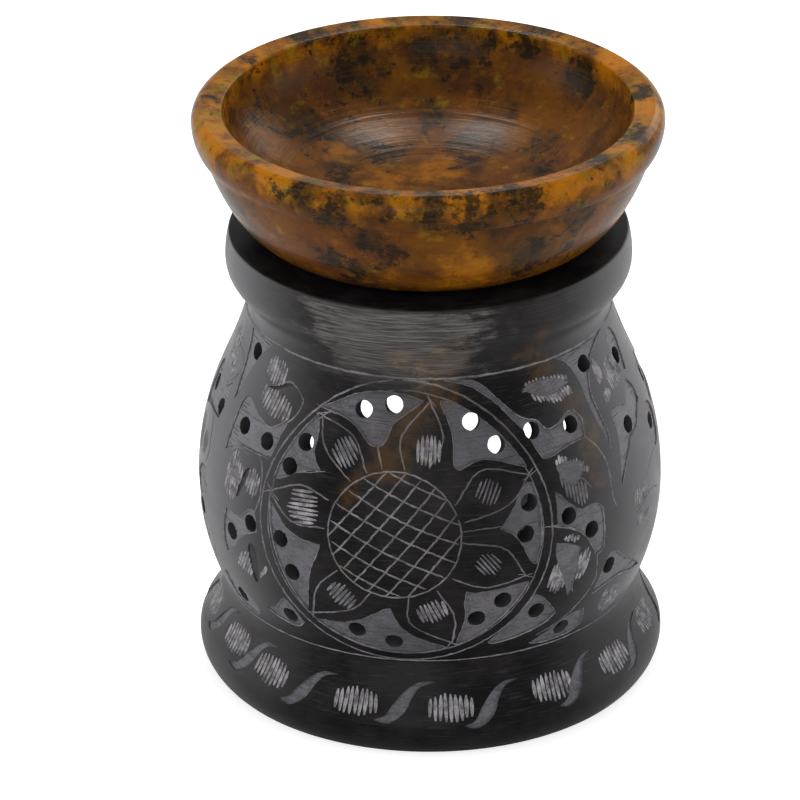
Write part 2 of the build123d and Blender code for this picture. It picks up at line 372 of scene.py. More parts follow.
# Turned body
# Foot, bellied wall, neck and collar are one turned stone, hollowed out through the collar. Its outline is
# drawn in millimetres, spun round the axis and brought down to metres at the end.
metre_share = 0.001
_, body_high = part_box("burner_body")
foot_radius = body_high.x / metre_share
seat_height = body_high.z / metre_share
foot_undercut = 2.3
foot_edge_height = 5.2
crest_inset = 0.9
crest_height = 8.1
waist_inset = 4.9
waist_height = 16.5
belly_swell = 4.55
belly_height = 35.6
shoulder = Vector((36.395, 58.016))
neck_inset = 9.35
neck_height = 70.0
collar_flare = 3.75
collar_bulge_height = 79.0
collar_draw = 0.55
edge_round = 0.5
wall_thickness = 4.0
collar_wall = 8.0
floor_height = 14.0
base_ring_radius = 20.0
seat_ring_radius = 31.0
bore_ring_height = 76.0
floor_ring_radius = 16.0
body_lathe_steps = 200
foot_crest = Vector((foot_radius - crest_inset, crest_height))
waist = Vector((foot_radius - waist_inset, waist_height))
belly = Vector((waist.x + belly_swell, belly_height))
neck = Vector((belly.x - neck_inset, neck_height))
collar_bulge = Vector((neck.x + collar_flare, collar_bulge_height))
collar_edge_radius = collar_bulge.x - collar_draw
collar_cove_height = (neck.y + collar_bulge.y) / 2
bore_radius = neck.x - collar_wall
outward = Vector((1, 0))
upward = Vector((0, 1))
downward = Vector((0, -1))


def arc_points(start, heading, end, steps):
    """Points of the arc that leaves start along heading and runs to end, and its heading there."""
    chord = end - start
    across = Vector((-heading.y, heading.x))
    radius = chord.length_squared / (2 * across.dot(chord))
    centre = start + across * radius
    turn = 2 * math.atan2(across.dot(chord), heading.dot(chord))
    turns = [Matrix.Rotation(turn * step / steps, 2) for step in range(steps + 1)]
    return [centre + part_turn @ (start - centre) for part_turn in turns], turns[-1] @ heading


def bezier_points(corners, steps):
    """Points of a cubic Bezier curve with the four given corners."""
    points = []
    for step in range(steps + 1):
        share = step / steps
        rest = 1 - share
        weights = (rest**3, 3 * rest**2 * share, 3 * rest * share**2, share**3)
        points.append(sum((corner * weight for corner, weight in zip(corners, weights)), Vector((0, 0))))
    return points


same_point_gap = 0.0001
mesh_gap = 0.001


def chain(*runs):
    """Joins runs of points end to end, without repeating the shared ends."""
    joined = list(runs[0])
    for run in runs[1:]:
        joined += [point for point in run if (point - joined[-1]).length > same_point_gap]
    return joined


def choose(piece):
    """Selects one object alone."""
    bpy.ops.object.select_all(action="DESELECT")
    piece.select_set(True)
    bpy.context.view_layer.objects.active = piece


def close_mesh(piece, gap=mesh_gap):
    """Merges the doubled points of a mesh and turns its faces outwards."""
    choose(piece)
    bpy.ops.object.mode_set(mode="EDIT")
    bpy.ops.mesh.select_all(action="SELECT")
    bpy.ops.mesh.remove_doubles(threshold=gap)
    bpy.ops.mesh.select_all(action="SELECT")
    bpy.ops.mesh.normals_make_consistent(inside=False)
    bpy.ops.object.mode_set(mode="OBJECT")


def spin_outline(name, outline, steps):
    """Spins an outline of radius and height round the axis, as on a lathe; the mesh is in millimetres."""
    bpy.ops.object.select_all(action="DESELECT")
    bpy.ops.mesh.primitive_circle_add(vertices=3, radius=1)
    piece = bpy.context.object
    piece.name = name
    piece.data.name = name
    piece.data.clear_geometry()
    edges = [(step, step + 1) for step in range(len(outline) - 1)]
    piece.data.from_pydata([(point.x, 0, point.y) for point in outline], edges, [])
    bpy.ops.object.mode_set(mode="EDIT")
    bpy.ops.mesh.select_all(action="SELECT")
    bpy.ops.mesh.spin(steps=steps, angle=2 * math.pi, center=(0, 0, 0), axis=(0, 0, 1))
    bpy.ops.object.mode_set(mode="OBJECT")
    close_mesh(piece)
    return piece


foot_edge = Vector((foot_radius, foot_edge_height))
foot_lip, _ = arc_points(foot_edge, downward, Vector((foot_radius - foot_undercut, 0)), steps=8)
foot_round, slope_heading = arc_points(foot_edge, upward, foot_crest, steps=5)
foot_slope, _ = arc_points(foot_crest, slope_heading, waist, steps=12)
lower_wall, _ = arc_points(belly, downward, waist, steps=20)
upper_wall, shoulder_heading = arc_points(belly, upward, shoulder, steps=23)
neck_wall, _ = arc_points(shoulder, shoulder_heading, neck, steps=13)
cove_start = Vector((neck.x, collar_cove_height))
cove_end = Vector((collar_bulge.x, collar_cove_height))
collar_cove = bezier_points((neck, cove_start, cove_end, collar_bulge), steps=12)
collar_corner = Vector((collar_edge_radius, seat_height - edge_round))
collar_side, _ = arc_points(collar_bulge, upward, collar_corner, steps=6)
collar_top = Vector((collar_edge_radius - edge_round, seat_height))
collar_edge, _ = arc_points(collar_corner, upward, collar_top, steps=4)
carved_outline = chain(foot_round, foot_slope, lower_wall[::-1], upper_wall, neck_wall, collar_cove)
chamber_radius = belly.x - wall_thickness
lower_arc_radius = (belly - waist).length_squared / (2 * (belly.x - waist.x)) - wall_thickness
upper_arc_radius = (belly - shoulder).length_squared / (2 * (belly.x - shoulder.x)) - wall_thickness
chamber_side = Vector((chamber_radius, belly.y))
chamber_floor_reach = math.sqrt(lower_arc_radius**2 - (belly.y - floor_height) ** 2)
chamber_floor_edge = Vector((chamber_radius - lower_arc_radius + chamber_floor_reach, floor_height))
throat_reach = bore_radius - chamber_radius + upper_arc_radius
throat = Vector((bore_radius, belly.y + math.sqrt(upper_arc_radius**2 - throat_reach**2)))
chamber_top, _ = arc_points(chamber_side, upward, throat, steps=9)
chamber_low, _ = arc_points(chamber_side, downward, chamber_floor_edge, steps=6)
bore_corner = Vector((bore_radius + edge_round, seat_height))
bore_edge, _ = arc_points(bore_corner, -outward, Vector((bore_radius, seat_height - edge_round)), steps=3)
body_outline = chain(
    [Vector((0, 0)), Vector((base_ring_radius, 0))], foot_lip[::-1], carved_outline, collar_side, collar_edge,
    [Vector((seat_ring_radius, seat_height))], bore_edge, [Vector((bore_radius, bore_ring_height))],
    chamber_top[::-1], chamber_low, [Vector((floor_ring_radius, floor_height)), Vector((0, floor_height))],
)
burner_body = spin_outline("carved_stone_body", body_outline, body_lathe_steps)
body_finishes = [polished_finish, scraped_finish, engraved_finish, bored_finish, hatched_finish]
for finish in body_finishes:
    burner_body.data.materials.append(finish)
inward_limit = -0.05
level_limit = 0.9
floor_margin = 0.1
for face in burner_body.data.polygons:
    faces_axis = face.normal.to_2d().dot(face.center.to_2d().normalized()) < inward_limit
    on_floor = face.normal.z > level_limit and face.center.z < floor_height + floor_margin
    face.material_index = body_finishes.index(bored_finish if faces_axis or on_floor else polished_finish)

# Candle door
# An arched door is sawn through the back wall, for the tealight and the air that feeds it. Its sill is
# level with the chamber's floor.
door_width = 50.0
door_height = 38.0
door_corner_radius = 18.0
door_depth = 50.0


def cut_away(piece, tool):
    """Cuts a closed tool out of a piece; the cut faces keep the tool's finish, and the tool is removed."""
    cut = piece.modifiers.new("cut", "BOOLEAN")
    cut.operation = "DIFFERENCE"
    cut.solver = "MANIFOLD"
    cut.material_mode = "TRANSFER"
    cut.object = tool
    bpy.context.view_layer.objects.active = piece
    bpy.ops.object.modifier_apply(modifier=cut.name)
    bpy.data.objects.remove(tool)


door_half = door_width / 2
door_top = floor_height + door_height
arch_start = Vector((door_half, door_top - door_corner_radius))
arch_end = Vector((door_half - door_corner_radius, door_top))
right_corner, _ = arc_points(arch_start, upward, arch_end, steps=16)
right_side = [Vector((door_half, floor_height))] + right_corner
door_outline = right_side + [Vector((-point.x, point.y)) for point in right_side[::-1]]
bpy.ops.object.select_all(action="DESELECT")
bpy.ops.mesh.primitive_circle_add(vertices=len(door_outline), radius=1)
door_tool = bpy.context.object
for vertex, point in zip(door_tool.data.vertices, door_outline):
    vertex.co = (point.x, 0, point.y)
bpy.ops.object.mode_set(mode="EDIT")
bpy.ops.mesh.select_all(action="SELECT")
bpy.ops.mesh.edge_face_add()
bpy.ops.mesh.extrude_region_move(TRANSFORM_OT_translate={"value": (0, door_depth, 0)})
bpy.ops.object.mode_set(mode="OBJECT")
close_mesh(door_tool)
door_tool.data.materials.append(bored_finish)
cut_away(burner_body, door_tool)

# Scraped grounds
# Between the leaves the polished skin is scraped off. Each ground is drawn flat, by distance round the wall
# from the front and length up it from the foot's crease, and wrapped round the body.
wall_radius = carving_radius / metre_share
ground_depth = 0.35
ground_unevenness = 0.28
ground_step = 1.5
edge_step = 0.7
sharp_turn = math.radians(58)
tool_clearance = 0.8
bisect_gap = 0.005
scraper = random.Random(5)
wrap_lengths = [0.0]
for before, after in zip(carved_outline, carved_outline[1:]):
    wrap_lengths.append(wrap_lengths[-1] + (after - before).length)
waist_length = wrap_lengths[len(foot_round) + len(foot_slope) - 2]
wall_length = wrap_lengths[-len(collar_cove)] - waist_length


def on_stone(around, along, lift):
    """The place on the body, in millimetres, of a flat carving point lifted off the surface."""
    reach = min(max(along + waist_length, 0.0), wrap_lengths[-1] - same_point_gap)
    step = max(index for index, length in enumerate(wrap_lengths[:-1]) if length <= reach)
    before = carved_outline[step]
    after = carved_outline[step + 1]
    heading = (after - before).normalized()
    spot = before + heading * (reach - wrap_lengths[step]) + Vector((heading.y, -heading.x)) * lift
    angle = around / wall_radius
    return Vector((spot.x * math.sin(angle), -spot.x * math.cos(angle), spot.y))


def flowing_line(points, step, closed=False):
    """Points about a step apart on the smooth curve through the given points."""
    spots = [Vector(point) for point in points]
    count = len(spots)
    line = []
    for index in range(count if closed else count - 1):
        here = spots[index]
        there = spots[(index + 1) % count]
        if closed or index > 0:
            back = spots[index - 1]
        else:
            back = here * 2 - there
        if closed or index + 2 < count:
            ahead = spots[(index + 2) % count]
        else:
            ahead = there * 2 - here
        pieces = max(2, round((there - here).length / step))
        lean_out = (there - back) * 0.5
        lean_in = (ahead - here) * 0.5
        for piece in range(pieces):
            share = piece / pieces
            bend = here * (2 * share**3 - 3 * share**2 + 1) + there * (3 * share**2 - 2 * share**3)
            line.append(bend + lean_out * (share**3 - 2 * share**2 + share) + lean_in * (share**3 - share**2))
    return line if closed else line + [spots[-1]]


medallion_grounds = (
    ((-20.5, 48.0), (-17, 49.8), (-13, 51.6), (-8, 52.5), (-3, 52.2), (1, 51.2), (-1.5, 49.8), (-4.3, 47.9),
     (-5.6, 46.4), (-6, 45), (-7.2, 43), (-9.2, 43.2), (-10.5, 44.2), (-12.5, 46), (-15.5, 47.3),
     (-18.5, 47.8)),
    ((-21.2, 46.6), (-23.5, 43.6), (-25.6, 40.1), (-27.2, 36.3), (-28.0, 33.2), (-26, 34), (-23, 35.8),
     (-20.5, 36.8), (-18.3, 37.1), (-19.5, 38.2), (-20.3, 40), (-20.3, 43), (-20.6, 45.3)),
    ((-28.1, 29.2), (-26, 27), (-24, 25.2), (-21, 24), (-17.2, 23.9), (-17.7, 22.3), (-18.8, 19.5),
     (-19.6, 16), (-20, 12), (-20.4, 9.9), (-22, 11.7), (-24.3, 15.6), (-26.3, 20), (-27.5, 24.5)),
    ((-19, 8.0), (-15.5, 5.9), (-11, 4.1), (-6, 3.0), (-1, 2.8), (3.5, 3.6), (5, 4.3), (2, 5.6), (-1, 7.2),
     (-3.2, 9.3), (-4.3, 11.5), (-4.8, 13.4), (-5.8, 12.9), (-8, 11.4), (-10.5, 9.8), (-14, 8.6),
     (-17, 8.3)),
    ((6.7, 4.8), (9.5, 6.3), (13, 9), (16, 12.2), (18.2, 15.2), (19.2, 17.2), (17, 16.9), (13, 16.4),
     (9.5, 16.4), (8.2, 16.8), (8, 14.5), (8.2, 11.5), (7.6, 8.5), (7, 6.5)),
    ((20.8, 35.2), (21.6, 32), (21.8, 28), (21.5, 24), (20.6, 20.3), (19.6, 21), (18.3, 24), (16.5, 26.8),
     (14.2, 28), (15.5, 29.5), (16.8, 31.3), (18.5, 33.8), (19.8, 35.3)),
    ((4.5, 51.4), (7.5, 50.3), (11, 48.5), (14.5, 45.9), (17.3, 42.8), (19.5, 39.4), (20.1, 38.2),
     (17, 39.4), (13.5, 40.6), (10.5, 40.5), (7.5, 39.3), (6.6, 39.8), (6.6, 42), (6.6, 45), (5.8, 48),
     (4.6, 50.3)),
)
left_grounds = (
    ((-48.5, 54.4), (-43.5, 54.6), (-38, 54.5), (-40.8, 52.3), (-42.8, 49.4), (-44.2, 46), (-45.2, 41.5),
     (-46.2, 45), (-46.8, 49), (-47.6, 52)),
    ((-42, 43), (-40, 44), (-36, 42.3), (-32, 41.2), (-29.5, 42.5), (-27.6, 44.2), (-28.8, 40),
     (-29.8, 36.2), (-33, 36), (-38, 35.5), (-43, 33), (-42.5, 38)),
    ((-40, 23), (-36, 23), (-33, 25.5), (-31.5, 25.5), (-30.8, 22), (-33, 21), (-36, 18.5), (-38, 16),
     (-40.5, 14), (-41, 18)),
    ((-31, 6), (-28, 7.5), (-26, 10), (-24.8, 10.3), (-21.8, 6.2), (-24, 4.5), (-28, 5)),
    ((-45, 8), (-40, 8), (-36, 6), (-34, 4), (-36, 2), (-42, 3)),
)
right_grounds = (
    ((5, 54.9), (12, 54.1), (16, 50.9), (20, 47.2), (22, 46.2), (24, 45.5), (26, 43.5), (29, 44), (31, 45),
     (33, 45.3), (34.5, 43), (34, 40), (30, 39.8), (24.5, 38.7), (23.2, 40), (21.2, 44), (18.5, 47.3),
     (15, 50.8), (10.5, 53.6)),
    ((25, 32.6), (26.5, 31), (28, 29.3), (30, 27.8), (33, 27.8), (35, 26.5), (35.3, 22), (35, 18.5),
     (33.2, 17.8), (32.4, 20), (30.3, 23.2), (26.5, 26), (25, 26.6), (25.2, 29.5)),
    ((20.6, 14.0), (22, 13), (24, 10.5), (25.3, 8.6), (23, 6.7), (18, 4.9), (13.5, 4.2), (12.6, 4.8),
     (16.6, 9.2), (19, 12)),
    ((24, 4), (28, 6.3), (32, 7), (33, 3), (30, 1.6), (24, 1.5), (21, 2.3)),
    ((42.8, 40.8), (44, 41.7), (46, 41.5), (49, 40.4), (51, 42.4), (53, 43.8), (54.8, 41.5), (55, 39),
     (52.5, 37.5), (50, 35.6), (47, 35), (45, 33), (42.8, 30.6), (41, 28), (41.6, 31), (42.4, 34.5),
     (43.1, 38)),
    ((33.4, 9.6), (34.4, 12), (35.8, 15), (37, 16.9), (38.8, 16.4), (40.6, 14.6), (43, 12.9), (46, 11),
     (49.5, 8.4), (45.5, 9.2), (41.5, 10.5), (37.5, 10.4)),
    ((31.6, 54.9), (34.5, 53.5), (36.2, 51), (37.2, 48.5), (37.9, 44), (38.8, 40), (39.9, 36.6),
     (40.3, 38.6), (39.6, 42.5), (39.3, 46.5), (40.6, 49.8), (43, 52.4), (46.5, 54), (50, 54.8)),
)
far_right_grounds = (
    ((51, 53), (54, 53.6), (56.5, 51), (56, 47), (55, 44.8), (53, 46), (51.5, 49)),
    ((56, 37), (60, 36), (62, 33), (61, 29), (58, 28), (56, 31)),
)
column_grounds = (
    ((-6.5, 42.5), (-4, 43.6), (-0.5, 42), (3, 41.4), (6, 43.6), (6.6, 40), (5.6, 36.2), (2, 36),
     (-2, 35.6), (-6.5, 33.8), (-6.8, 38)),
    ((-5.5, 22.5), (-2, 22.8), (1, 25), (4.5, 26), (5.8, 22), (3.2, 20.4), (0, 18.4), (-2.4, 16),
     (-5.4, 14.2), (-6.2, 18)),
    ((-8, 7.5), (-4, 8), (-0.5, 6), (1.5, 3.8), (-1, 2), (-6.5, 2.6)),
)
side_column_angles = (-104, -129, 99, 126)
column_places = [-54.6] + [wall_radius * math.radians(angle) for angle in side_column_angles]
all_grounds = list(medallion_grounds + left_grounds + right_grounds + far_right_grounds)
for place in column_places:
    for ground in column_grounds:
        all_grounds.append([(place + around, along) for around, along in ground])


def ground_sides(ground):
    """The smooth sides of a ground, from one sharp corner of its outline to the next."""
    spots = [Vector(point) for point in ground]
    count = len(spots)
    corners = []
    for index in range(count):
        turn = (spots[index] - spots[index - 1]).angle(spots[(index + 1) % count] - spots[index])
        if turn > sharp_turn:
            corners.append(index)
    if len(corners) < 2:
        corners = [0, count // 2]
    ends = corners[1:] + [corners[0] + count]
    runs = [[spots[index % count] for index in range(start, end + 1)] for start, end in zip(corners, ends)]
    return [flowing_line(run, edge_step) for run in runs]


def curve_piece(name, curve):
    """Makes a curve into a mesh object with no finish."""
    piece = bpy.data.objects.new(name, curve)
    bpy.context.collection.objects.link(piece)
    choose(piece)
    bpy.ops.object.convert(target="MESH")
    piece = bpy.context.object
    piece.data.materials.clear()
    return piece


def flat_tool(name, outlines, depth, finish):
    """A closed mesh of flat outlines wrapped round the body, from above the stone down to a depth in it."""
    curve = bpy.data.curves.new(name, "CURVE")
    curve.dimensions = "2D"
    curve.fill_mode = "BOTH"
    curve.extrude = 1.0
    for outline in outlines:
        spline = curve.splines.new("POLY")
        spline.points.add(len(outline) - 1)
        spline.use_cyclic_u = True
        for point, spot in zip(spline.points, outline):
            point.co = (spot.x, spot.y, 0, 1)
    tool = curve_piece(name, curve)
    bpy.ops.object.mode_set(mode="EDIT")
    reach_round = wall_radius * math.pi
    for axis, low, high in (((1, 0, 0), -reach_round, reach_round), ((0, 1, 0), -waist_length, wall_length)):
        for cut in range(math.ceil((high - low) / ground_step)):
            bpy.ops.mesh.select_all(action="SELECT")
            bpy.ops.mesh.bisect(plane_co=Vector(axis) * (low + cut * ground_step), plane_no=axis)
    bpy.ops.object.mode_set(mode="OBJECT")
    close_mesh(tool, bisect_gap)
    for vertex in tool.data.vertices:
        floor_lift = -depth * scraper.uniform(1 - ground_unevenness, 1 + ground_unevenness)
        vertex.co = on_stone(vertex.co.x, vertex.co.y, tool_clearance if vertex.co.z > 0 else floor_lift)
    close_mesh(tool, same_point_gap)
    tool.data.materials.append(finish)
    return tool


all_sides = [ground_sides(ground) for ground in all_grounds]
ground_outlines = [[spot for side in sides for spot in side[:-1]] for sides in all_sides]
cut_away(burner_body, flat_tool("ground_tool", ground_outlines, ground_depth, scraped_finish))

# Leaf faces that are scraped too, less deep than the grounds
leaf_face_depth = 0.2
leaf_faces = (
    ((22, 51.3), (24.5, 52.1), (28, 52.1), (31.5, 51.3), (34.4, 49.9), (31.5, 49.4), (28.5, 49),
     (25.5, 49.6)),
    ((26, 36.8), (28, 37.2), (30.5, 36.6), (32.6, 35.6), (31.4, 33.6), (29.6, 32.2), (28, 33.4),
     (26.6, 35)),
    ((24.5, 23.2), (27, 22.4), (29.6, 20.9), (29.2, 17.4), (28.2, 13.6), (27.3, 11.2), (26.5, 14.2),
     (25.1, 18.2), (24.3, 21)),
)
face_outlines = [[spot for side in ground_sides(face) for spot in side[:-1]] for face in leaf_faces]
cut_away(burner_body, flat_tool("leaf_faces", face_outlines, leaf_face_depth, scraped_finish))

# Engraved lines and hatching
# Outlines, veins and hatching are single cuts of a small round-nosed tool. Each cut is a round bar that
# dips into the stone and tapers where the tool goes in and comes out.
carver = random.Random(7)
line_half_width = 0.17
line_depth = 0.15
line_step = 0.7
line_end_share = 0.45
line_taper_share = 0.3
hand_wander = 0.07
hand_pressure_shares = (0.74, 1.18)
stroke_swells = ((0, 0.35), (0.15, 0.75), (0.35, 0.95), (0.6, 1.0), (0.82, 0.8), (1, 0.3))
stroke_length_shares = (0.92, 1.05)
stroke_width_shares = (0.85, 1.1)
row_length_shares = (0.85, 1.1)
stroke_shift = 0.22
stroke_lean = 0.12
bar_gap = 0.0005


def tool_bars(name, cuts, finish, sides=2):
    """A closed mesh of round bars, one for each cut, which lists around, along, half width and depth."""
    curve = bpy.data.curves.new(name, "CURVE")
    curve.dimensions = "3D"
    curve.bevel_depth = 1.0
    curve.bevel_resolution = sides
    curve.use_fill_caps = True
    for cut in cuts:
        spline = curve.splines.new("POLY")
        spline.points.add(len(cut) - 1)
        for point, (around, along, half_width, depth) in zip(spline.points, cut):
            bar_radius = (half_width**2 + depth**2) / (2 * depth)
            point.co = (*on_stone(around, along, bar_radius - depth), 1)
            point.radius = bar_radius
    tool = curve_piece(name, curve)
    close_mesh(tool, bar_gap)
    tool.data.materials.append(finish)
    return tool


def line_cut(points, half_width=line_half_width, depth=line_depth, smooth=True):
    """One engraved line through flat points, thinner at both ends."""
    line = flowing_line(points, line_step) if smooth else [Vector(point) for point in points]
    last = len(line) - 1
    cut = []
    for index, spot in enumerate(line):
        taper = min(1.0, line_end_share + line_taper_share * min(index, last - index))
        taper *= carver.uniform(*hand_pressure_shares)
        around = spot.x + carver.uniform(-hand_wander, hand_wander)
        along = spot.y + carver.uniform(-hand_wander, hand_wander)
        cut.append((around, along, half_width * taper, depth * taper))
    return cut


def stroke_cut(start, end, half_width, depth):
    """One short hatching stroke, widest a little past its middle."""
    cut = []
    for share, swell in stroke_swells:
        spot = start.lerp(end, share)
        cut.append((spot.x, spot.y, half_width * swell, depth * swell))
    return cut


def heading_at(degrees):
    """The flat direction at an angle."""
    return Vector((math.cos(math.radians(degrees)), math.sin(math.radians(degrees))))


def hatch_cuts(middle, direction, across, length, count, half_width=0.35, depth=0.2):
    """A leaf-shaped patch of parallel strokes, longest in the middle of the patch."""
    along = heading_at(direction)
    side = Vector((along.y, -along.x))
    cuts = []
    for index in range(count):
        place = (index + 0.5) / count * 2 - 1
        stroke_length = length * math.sqrt(1 - 0.75 * place**2) * carver.uniform(*stroke_length_shares)
        shift = along * carver.uniform(-stroke_shift, stroke_shift)
        spot = Vector(middle) + side * place * across / 2 + shift
        lean = side * carver.uniform(-stroke_lean, stroke_lean)
        start = spot - along * stroke_length / 2 - lean
        end = spot + along * stroke_length / 2 + lean
        stroke_half_width = half_width * carver.uniform(*stroke_width_shares)
        cuts.append(stroke_cut(start, end, stroke_half_width, depth * carver.uniform(*stroke_width_shares)))
    return cuts


def row_cuts(first, last, direction, length, count, half_width=0.33, depth=0.2):
    """A row of parallel strokes that start on a leaf's vein and run out to a side, longest in the middle."""
    along = heading_at(direction)
    cuts = []
    for index in range(count):
        share = (index + 0.5) / count
        start = Vector(first).lerp(Vector(last), share)
        reach = length * (0.55 + 0.45 * math.sin(math.pi * share)) * carver.uniform(*row_length_shares)
        stroke_half_width = half_width * carver.uniform(*stroke_width_shares)
        cuts.append(stroke_cut(start, start + along * reach, stroke_half_width, depth))
    return cuts


# Medallion: two rings, a netted disc, and seven petals as points from one root over the tip to the other
ring_middle = Vector((-3.1, 27.8))
ring_lines = ((27.0, 0.18), (25.2, 0.14))
ring_start = 95
ring_sweep = 356
ring_steps = 200
disc_middle = Vector((-4.2, 27.3))
disc_radius = 11.6
net_margin = 1.2
net_overruns = (-0.6, 0.3)
net_bow = 0.2
net_half_width = 0.18
tip_overrun = 1.3
petals = (
    ((-2.5, 39.3), (-3.3, 45), (2.2, 51.2), (4.7, 45), (2.0, 39.6)),
    ((-12.3, 36.3), (-18.2, 41.3), (-20.2, 46.6), (-13, 44.3), (-9.4, 38.2)),
    ((-16.4, 27.2), (-23, 26.8), (-28.6, 30.7), (-22, 33.7), (-16.0, 32.4)),
    ((-8.1, 16.2), (-11.5, 12.2), (-19.3, 9.4), (-17.8, 15.5), (-13.8, 19.8)),
    ((3.2, 17.4), (6.2, 11.5), (5.9, 5.4), (-1.2, 10), (-1.6, 16.2)),
    ((7.3, 26.3), (14.8, 24.3), (18.6, 18.4), (11.5, 17.3), (5.8, 19.6)),
    ((6.4, 33), (11.5, 38.8), (20.4, 36.8), (16, 32.2), (8.0, 29.9)),
)
ring_line_cuts = []
for ring_radius, ring_half_width in ring_lines:
    ring_angles = [ring_start + ring_sweep * step / ring_steps for step in range(ring_steps + 1)]
    ring = [ring_middle + heading_at(angle) * ring_radius for angle in ring_angles]
    ring_line_cuts.append(line_cut(ring, ring_half_width, smooth=False))
disc_edge = [disc_middle + heading_at(angle) * disc_radius for angle in range(20, 377, 4)]
ring_line_cuts.append(line_cut(disc_edge, smooth=False))
first_side_cuts = [line_cut(petal[:3]) for petal in petals]
second_side_cuts = []
for petal in petals:
    tip = Vector(petal[2])
    past_tip = tip + (tip - Vector(petal[3])).normalized() * tip_overrun
    second_side_cuts.append(line_cut((petal[4], petal[3], tip, past_tip)))


def net_cuts(slope, spacing, offset):
    """Parallel lines across the disc, out to just past its edge."""
    along = Vector((1, slope)).normalized()
    side = Vector((-along.y, along.x))
    cuts = []
    count = int(disc_radius / spacing) + 1
    for index in range(-count, count + 1):
        place = index * spacing + offset
        if abs(place) < disc_radius - net_margin:
            half = math.sqrt(disc_radius**2 - place**2) + carver.uniform(*net_overruns)
            spot = disc_middle + side * place
            middle = spot + side * carver.uniform(-net_bow, net_bow)
            cuts.append(line_cut((spot - along * half, middle, spot + along * half), net_half_width))
    return cuts


first_net_cuts = net_cuts(slope=-0.45, spacing=3.3, offset=0.1)
second_net_cuts = net_cuts(slope=1.3, spacing=2.85, offset=-0.3)

# Hatched patches as middle, direction in degrees, width, stroke length and count, and rows of strokes as the
# two ends of a vein, direction, length and count
hatch_patches = (
    ((1.9, 42.7), 88, 4.8, 5.6, 6), ((-14, 41.3), -50, 4.8, 5.4, 6), ((-20.9, 30), 7, 6.4, 6.4, 8),
    ((-13.3, 14.8), 52, 5.4, 4.3, 7), ((2.4, 12.9), -68, 5.2, 4.6, 7), ((-34.3, 50.9), 84, 6.4, 5.0, 7),
    ((-32.2, 45.5), 78, 9.4, 4.8, 10), ((-38.4, 29.8), 88, 5.0, 9.2, 7), ((-32.9, 30.6), 80, 3.4, 5.2, 5),
    ((25, 16.3), 74, 3.8, 6.4, 6), ((30.1, 17.4), 70, 2.6, 6.0, 4), ((27.7, 23.1), 75, 3.4, 1.4, 5),
    ((43.4, 48.9), 97, 2.4, 5.4, 4), ((48.6, 47), 98, 6.0, 6.4, 8), ((43.9, 44.3), 96, 2.6, 2.4, 4),
    ((47.2, 23.9), 82, 5.4, 3.8, 7), ((48.2, 19.2), 80, 6.0, 3.4, 7), ((39.8, 5.8), 62, 7.0, 5.6, 8),
)
vein_rows = (
    ((22.8, 51.5), (34, 50.4), 99, 1.7, 12), ((23.6, 50.4), (33.6, 49.5), -62, 2.9, 11),
    ((26.3, 36.2), (32, 32.2), -88, 5.4, 8), ((28.8, 36), (33, 33.6), 82, 2.0, 6),
    ((26, 36.9), (28.7, 36.9), 88, 1.7, 4), ((-37.3, 12.9), (-33.2, 12), 61, 6.2, 6),
    ((-30.9, 12.6), (-29.2, 14.4), 62, 2.8, 3),
)
hatch_all = []
for patch in hatch_patches:
    hatch_all += hatch_cuts(*patch)
for row in vein_rows:
    hatch_all += row_cuts(*row)
hatch_all += hatch_cuts((12, 21.7), -52, 4.0, 4.4, 6, half_width=0.2, depth=0.14)
hatch_all += hatch_cuts((12.5, 35), 66, 4.4, 4.6, 6, half_width=0.2, depth=0.14)

# Hatching and lines of the leaf columns on the sides, measured from the middle of a column
column_hatches = (
    ((-0.5, 50.3), 86, 6.0, 4.6, 7), ((1.5, 46.1), 74, 7.4, 3.8, 8), ((-3, 29.8), 88, 4.0, 7.4, 5),
    ((1.7, 29.8), 78, 3.2, 5.4, 4), ((0.5, 12.6), 58, 4.4, 5.6, 5), ((5.2, 13.2), 64, 2.4, 3.2, 3),
)
for place in column_places:
    for (around, along), direction, across, length, count in column_hatches:
        hatch_all += hatch_cuts((place + around, along), direction, across, length, count)

leaf_lines = [
    ((-34, 48.3), (-31, 49.8), (-29, 50.2), (-26.5, 49), (-25.3, 47.5), (-27, 44), (-30.5, 42)),
    ((-40.5, 52.5), (-44.5, 47), (-45.5, 42)),
    ((22, 51), (28, 50.6), (34.6, 49.9)),
    ((34, 40), (36.5, 37), (38, 33), (38, 28), (38.8, 25)),
    ((39.9, 36.2), (40.2, 34)),
    ((33.5, 18), (33.5, 13), (30.5, 9), (26.5, 6), (22, 4)),
    ((24, 26.5), (28, 24.8), (31, 22.3), (33, 18.5)),
    ((25.4, 22), (27.2, 17), (28.4, 12)),
    ((-8, 44), (-7.4, 41.5), (-6.6, 39.2)),
    ((-41.5, 33), (-39, 35), (-35.5, 35)),
    ((-31.5, 25.6), (-30.6, 29), (-31, 33.5), (-32.5, 36)),
    ((27.4, 35.6), (29.6, 34.4), (31.4, 33), (33, 31)),
    ((44.4, 21), (47, 21.6), (52, 22.6), (56, 21)),
    ((50, 25.8), (53, 27.8), (57, 28.6), (60, 28)),
]
column_lines = (
    ((0.5, 48.3), (3.5, 49.6), (6.5, 48.8), (7.6, 47.2), (6.2, 44.4), (3.4, 42.4)),
    ((3.8, 26.6), (4.9, 29.5), (4.0, 33.5), (2.6, 35.6)),
    ((-6.0, 33), (-5.8, 28), (-5, 24)),
    ((7.2, 17), (7.6, 12), (5.8, 8.6), (2.6, 7)),
)
for place in column_places:
    for line in column_lines:
        leaf_lines.append([(place + around, along) for around, along in line])

